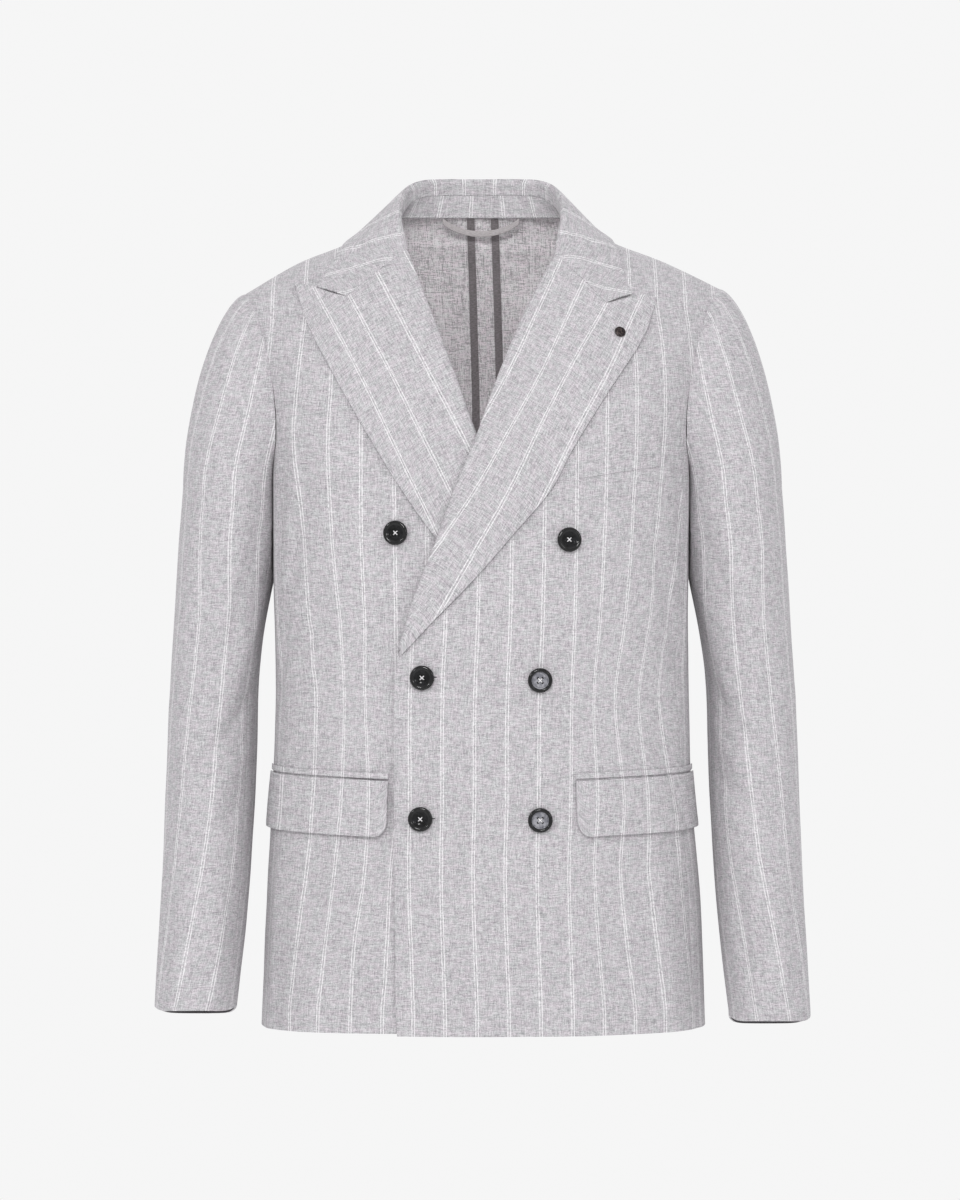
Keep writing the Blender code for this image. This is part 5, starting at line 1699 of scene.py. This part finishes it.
# %% Turning a button
# Profiles of the two kinds of button, from the middle of the face out, and of their back. Columns in mm:
# radius, height.
BOWL = [(0, 1.5), (3.0, 1.55), (5.2, 2.0), (7.0, 3.0), (7.9, 3.75), (8.7, 4.0), (9.6, 3.95), (10.4, 3.4),
        (10.8, 2.2)]
PLATE = [(0, 2.5), (5.8, 2.5), (6.3, 2.4), (6.6, 1.7), (7.2, 1.7), (7.5, 2.9), (8.1, 3.5), (8.9, 3.75),
         (9.8, 3.5), (10.5, 2.9), (10.8, 2.1)]
BACK_OF_BUTTON = [(10.4, 1.2), (9.0, 0.5), (4.0, 0.1), (0, 0)]
BACK_HEIGHT = 1 * MM  # what is lower belongs to the back, which is finished like the rim
FACE_RADIUS = 7.4 * MM  # inside it is the face, outside it the rim


def turned_button(name, profile, face_finish):
    """A button turned from its profile, with its face and its rim apart, lying on its back."""
    turned = bmesh.new()
    line = [turned.verts.new((radius * MM, 0, height * MM)) for radius, height in profile + BACK_OF_BUTTON]
    for a, b in zip(line, line[1:]):
        turned.edges.new((a, b))
    bmesh.ops.spin(turned, geom=turned.verts[:] + turned.edges[:], axis=(0, 0, 1), cent=(0, 0, 0),
                   angle=2 * pi, steps=48, use_merge=True)
    bmesh.ops.remove_doubles(turned, verts=turned.verts[:], dist=0.01 * MM)
    bmesh.ops.recalc_face_normals(turned, faces=turned.faces[:])
    for face in turned.faces:
        middle = face.calc_center_median()
        face.material_index = int(hypot(middle.x, middle.y) > FACE_RADIUS or middle.z < BACK_HEIGHT)
    return finished(turned, name, face_finish, RIM)


print("a button is", 2 * max(BOWL)[0], "mm across")

# %% Drilling and sewing a button
HOLE_TURNS = (45, 135, 225, 315)
HOLE_RADIUS = 1.0 * MM
HOLE_SPREAD, THREAD_SPREAD = 2.8 * MM, 2.0 * MM  # from a button's middle to its holes and to its thread
HOLE_FLOOR = 0.7 * MM  # height above the button's back that the holes are seen to
DRILL_LENGTH = 10 * MM
THREAD_RADIUS = 0.5 * MM
LEG_DROP, LEG_EXTRA = 0.9 * MM, 2.2 * MM  # a leg of thread reaches down through the shank
BAR_STEP, BAR_EXTRA = 0.25 * MM, 0.4 * MM  # one bar lies over the other, and both reach past their legs


def rod(shape, radius, length, segments, place):
    """A round bar, closed at its ends."""
    bmesh.ops.create_cone(shape, cap_ends=True, segments=segments, radius1=radius, radius2=radius,
                          depth=length, matrix=place)


def drilled(made):
    """Drills the four holes of a button."""
    cutter = bmesh.new()
    for turn in HOLE_TURNS:
        middle = Matrix.Translation((HOLE_SPREAD, 0, HOLE_FLOOR + DRILL_LENGTH / 2))
        rod(cutter, HOLE_RADIUS, DRILL_LENGTH, 16, Matrix.Rotation(radians(turn), 4, "Z") @ middle)
    for face in cutter.faces:
        face.material_index = 1
    holes = finished(cutter, "holes", RIM, RIM)
    holes.data.shade_flat()
    cut = made.modifiers.new("Holes", "BOOLEAN")
    cut.operation = "DIFFERENCE"
    cut.object = holes
    shape = bpy.data.meshes.new_from_object(made.evaluated_get(bpy.context.evaluated_depsgraph_get()))
    made.modifiers.clear()
    made.data = shape
    bpy.data.objects.remove(holes)


def crossed_threads(name, height):
    """The thread through a button's holes: two bars that cross on its face, and its four legs."""
    thread = bmesh.new()
    for i, turn in enumerate(HOLE_TURNS):
        turn = Matrix.Rotation(radians(turn), 4, "Z")
        leg = turn @ Matrix.Translation((THREAD_SPREAD, 0, height / 2 - LEG_DROP))
        rod(thread, THREAD_RADIUS, height + LEG_EXTRA, 10, leg)
        if i < 2:
            bar = Matrix.Translation((0, 0, height + BAR_STEP * i)) @ turn @ Matrix.Rotation(pi / 2, 4, "Y")
            rod(thread, THREAD_RADIUS, 2 * THREAD_SPREAD + BAR_EXTRA, 10, bar)
    return finished(thread, name, THREAD)


print(len(HOLE_TURNS), "holes in a button")

# %% [markdown]
# ## The buttons on the jacket
#
# Six buttons in two columns. Those that fasten are polished, and two that only show have flat grey faces,
# whose paleness is partly the horn's colour and partly painted reflection. Each stands on its cloth on a
# short
# shank of thread: it is dropped where it shows from the front, and turned to face the way the cloth faces
# there.

# %% Buttons
SHANK = 1.5 * MM  # gap under a button, filled by its thread
THREAD_RISE = 0.3  # mm from the middle of a button's face to the middle of its crossed thread
# Places of the buttons. Columns: name, then x and z in mm.
BUTTONS = [
    ("button_top_right", -74, -293),
    ("button_top_left", 76, -299),
    ("button_middle_right", -51, -419),
    ("button_middle_left", 51, -421),
    ("button_bottom_right", -52.5, -542),
    ("button_bottom_left", 51.5, -543),
]
DULL_BUTTONS = ("button_middle_left", "button_bottom_left")  # these two are only for show


def standing(point, normal):
    """Turns what is made along +Z to stand on a point along a normal."""
    return Matrix.Translation(point) @ normal.to_track_quat("Z", "Y").to_matrix().to_4x4()


def button(name, x, z, tree):
    dull = name in DULL_BUTTONS
    profile = PLATE if dull else BOWL
    place, normal = seen_at(tree, x * MM, z * MM)
    made = turned_button(name + "_horn", profile, DULL_PAINTED_REFLECTION if dull else POLISHED)
    drilled(made)
    sewn = crossed_threads(name + "_thread", (profile[0][1] + THREAD_RISE) * MM)
    for piece in (made, sewn):
        piece.data.transform(standing(place + normal * (CLOTH / 2 + SHANK), normal))
    return made, sewn


fronts = sheets_tree([left_front])
under = sheets_tree([right_front])
sewn_buttons = {}
for name, x, z in BUTTONS:
    sewn_buttons[name] = button(name, x, z, under if name == "button_top_right" else fronts)
print("the buttons are sewn on")

# %% [markdown]
# ## Stitches under the collar stand
#
# The stand is felled to the neckline by hand, which leaves a row of small pale stitches. Each is a short rod
# laid along the foot of the stand.

# %% Stitches
STITCHES, STITCH_LENGTH, STITCH_REACH = 62, 1.9 * MM, 0.56  # the reach is a share of the way to the gorge
STITCH_RADIUS, STITCH_HEIGHT = 0.3 * MM, 0.09  # the height is a share of the stand's
STITCH_LIFT = 0.15 * MM  # from the cloth to the middle of a stitch


def collar_stand_foot(share):
    """A point just above the lower edge of the stand, on the side that faces the wearer's neck."""
    inward = collar_line(share)[2]
    top = inside_fold(share, COLLAR_TURN + COLLAR_FOLD)
    foot = neck_seam(share) - inward * STAND_INWARD
    foot.z -= STAND_LOWER
    return foot.lerp(top, STITCH_HEIGHT) - inward * (CLOTH / 2 + STITCH_LIFT)


def stand_stitches():
    """A row of small pale stitches along the foot of the stand."""
    made = bmesh.new()
    spots = [collar_stand_foot((2 * i / (STITCHES - 1) - 1) * STITCH_REACH) for i in range(STITCHES)]
    for before, spot, after in zip(spots, spots[1:], spots[2:]):
        turn = (after - before).to_track_quat("Z", "Y").to_matrix().to_4x4()
        rod(made, STITCH_RADIUS, STITCH_LENGTH, 8, Matrix.Translation(spot) @ turn)
    return finished(made, "stand_stitches", THREAD)


stitches = stand_stitches()
print(STITCHES - 2, "stitches are sewn")

# %% [markdown]
# ## Buttonholes
#
# The worked end of a buttonhole shows beside each button that fastens. It is a bar of dark thread, made from
# a ball that is stretched along the hole and flattened.

# %% Buttonholes
HOLE_STRETCH, HOLE_FLATNESS = 12, 0.5  # of a ball one mm in radius


def buttonhole(name, x, z):
    """The worked end of a buttonhole, which shows beside its button."""
    place, normal = seen_at(fronts, x * MM, z * MM)
    bar = bmesh.new()
    bmesh.ops.create_uvsphere(bar, u_segments=24, v_segments=12, radius=1 * MM)
    bmesh.ops.scale(bar, verts=bar.verts[:], vec=(HOLE_STRETCH, 1, HOLE_FLATNESS))
    bmesh.ops.translate(bar, verts=bar.verts[:], vec=(0, 0, CLOTH / 2))
    across = Vector((1, 0, 0))
    across = (across - normal * across.dot(normal)).normalized()
    turn = Matrix((across, normal.cross(across), normal)).transposed().to_4x4()
    made = finished(bar, name, DARK_THREAD)
    made.data.transform(Matrix.Translation(place) @ turn)
    return made


buttonholes = [buttonhole("buttonhole_middle", -50, -418.5), buttonhole("buttonhole_bottom", -51.5, -541.5)]
print(len(buttonholes), "buttonholes are worked")

# %% [markdown]
# ## The stud
#
# A small dark stud sits on the left lapel, where some wear a pin. It is left plain: a flattened ball, set
# into the cloth by a tenth of its height.

# %% Stud
STUD_PLACE, STUD_RADIUS, STUD_FLATNESS = (122, -116), 5 * MM, 0.3
STUD_PROUD = 0.9  # share of its half height that it stands above the cloth

stud_shape = bmesh.new()
bmesh.ops.create_uvsphere(stud_shape, u_segments=32, v_segments=16, radius=STUD_RADIUS)
bmesh.ops.scale(stud_shape, verts=stud_shape.verts[:], vec=(1, 1, STUD_FLATNESS))
place, normal = seen_at(sheets_tree([left_lapel]), *(value * MM for value in STUD_PLACE))
stud = finished(stud_shape, "lapel_stud_metal", METAL)
lift = CLOTH / 2 + STUD_RADIUS * STUD_FLATNESS * STUD_PROUD
stud.data.transform(standing(place + normal * lift, normal))
print("the stud is set")

# %% [markdown]
# ## The floor
#
# A pale round floor far below the hem closes the view from above. It is a stage for the jacket and not a
# part of it.

# %% Floor
FLOOR_RADIUS, FLOOR_HEIGHT = 4, -1.6
PALE, _, pale_shader = new_material("backdrop", 1.0)
pale_shader.inputs["Base Color"].default_value = (0.9, 0.9, 0.9, 1)
stage_shape = bmesh.new()
bmesh.ops.create_circle(stage_shape, cap_ends=True, segments=96, radius=FLOOR_RADIUS)
floor = finished(stage_shape, "floor", PALE)
floor.data.transform(Matrix.Translation((0, 0, FLOOR_HEIGHT)))
print("the floor is laid")

# Each piece rides on the one body, because the jacket has no joints, and the solid of the plain model that
# it stands for is hidden. The size of each sheet when flat is printed.

# %% Pieces and their places
LEAST_SHEET = 0.01  # metres: what is narrower is a folded edge or a tape
PIECES = [
    (left_front, "left_front"), (right_front, "right_front"), (left_side, "left_side_panel"),
    (right_side, "right_side_panel"), (left_back, "left_back"), (right_back, "right_back"),
    (sleeves["left_top"], "left_top_sleeve"), (sleeves["right_top"], "right_top_sleeve"),
    (sleeves["left_under"], "left_under_sleeve"), (sleeves["right_under"], "right_under_sleeve"),
    (left_lapel, "left_lapel"), (right_lapel, "right_lapel"), (fall, "collar_fall"), (stand, "collar_stand"),
    (left_flap, "left_pocket_flap"), (right_flap, "right_pocket_flap"), (left_welt, "left_pocket_welt"),
    (right_welt, "right_pocket_welt"), (breast, "breast_pocket"), (loop, "hanger_loop"),
    (left_tape, "left_seam_tape"), (right_tape, "right_seam_tape"),
]
for made, node in PIECES:
    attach(made, "root")
    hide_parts(node)
    width, length, area = CUTS[made.name]
    if width > LEAST_SHEET:
        min(area, width * length)
    print(f"{made.name}: {width:.3f} by {length:.3f} m, {area:.4f} m2")
for name, (made, sewn) in sewn_buttons.items():
    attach(made, "root")
    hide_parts(name)
    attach(sewn, "root")
for made in (*buttonholes, stitches):
    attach(made, "root")
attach(stud, "root")
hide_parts("lapel_stud")

# %% [markdown]
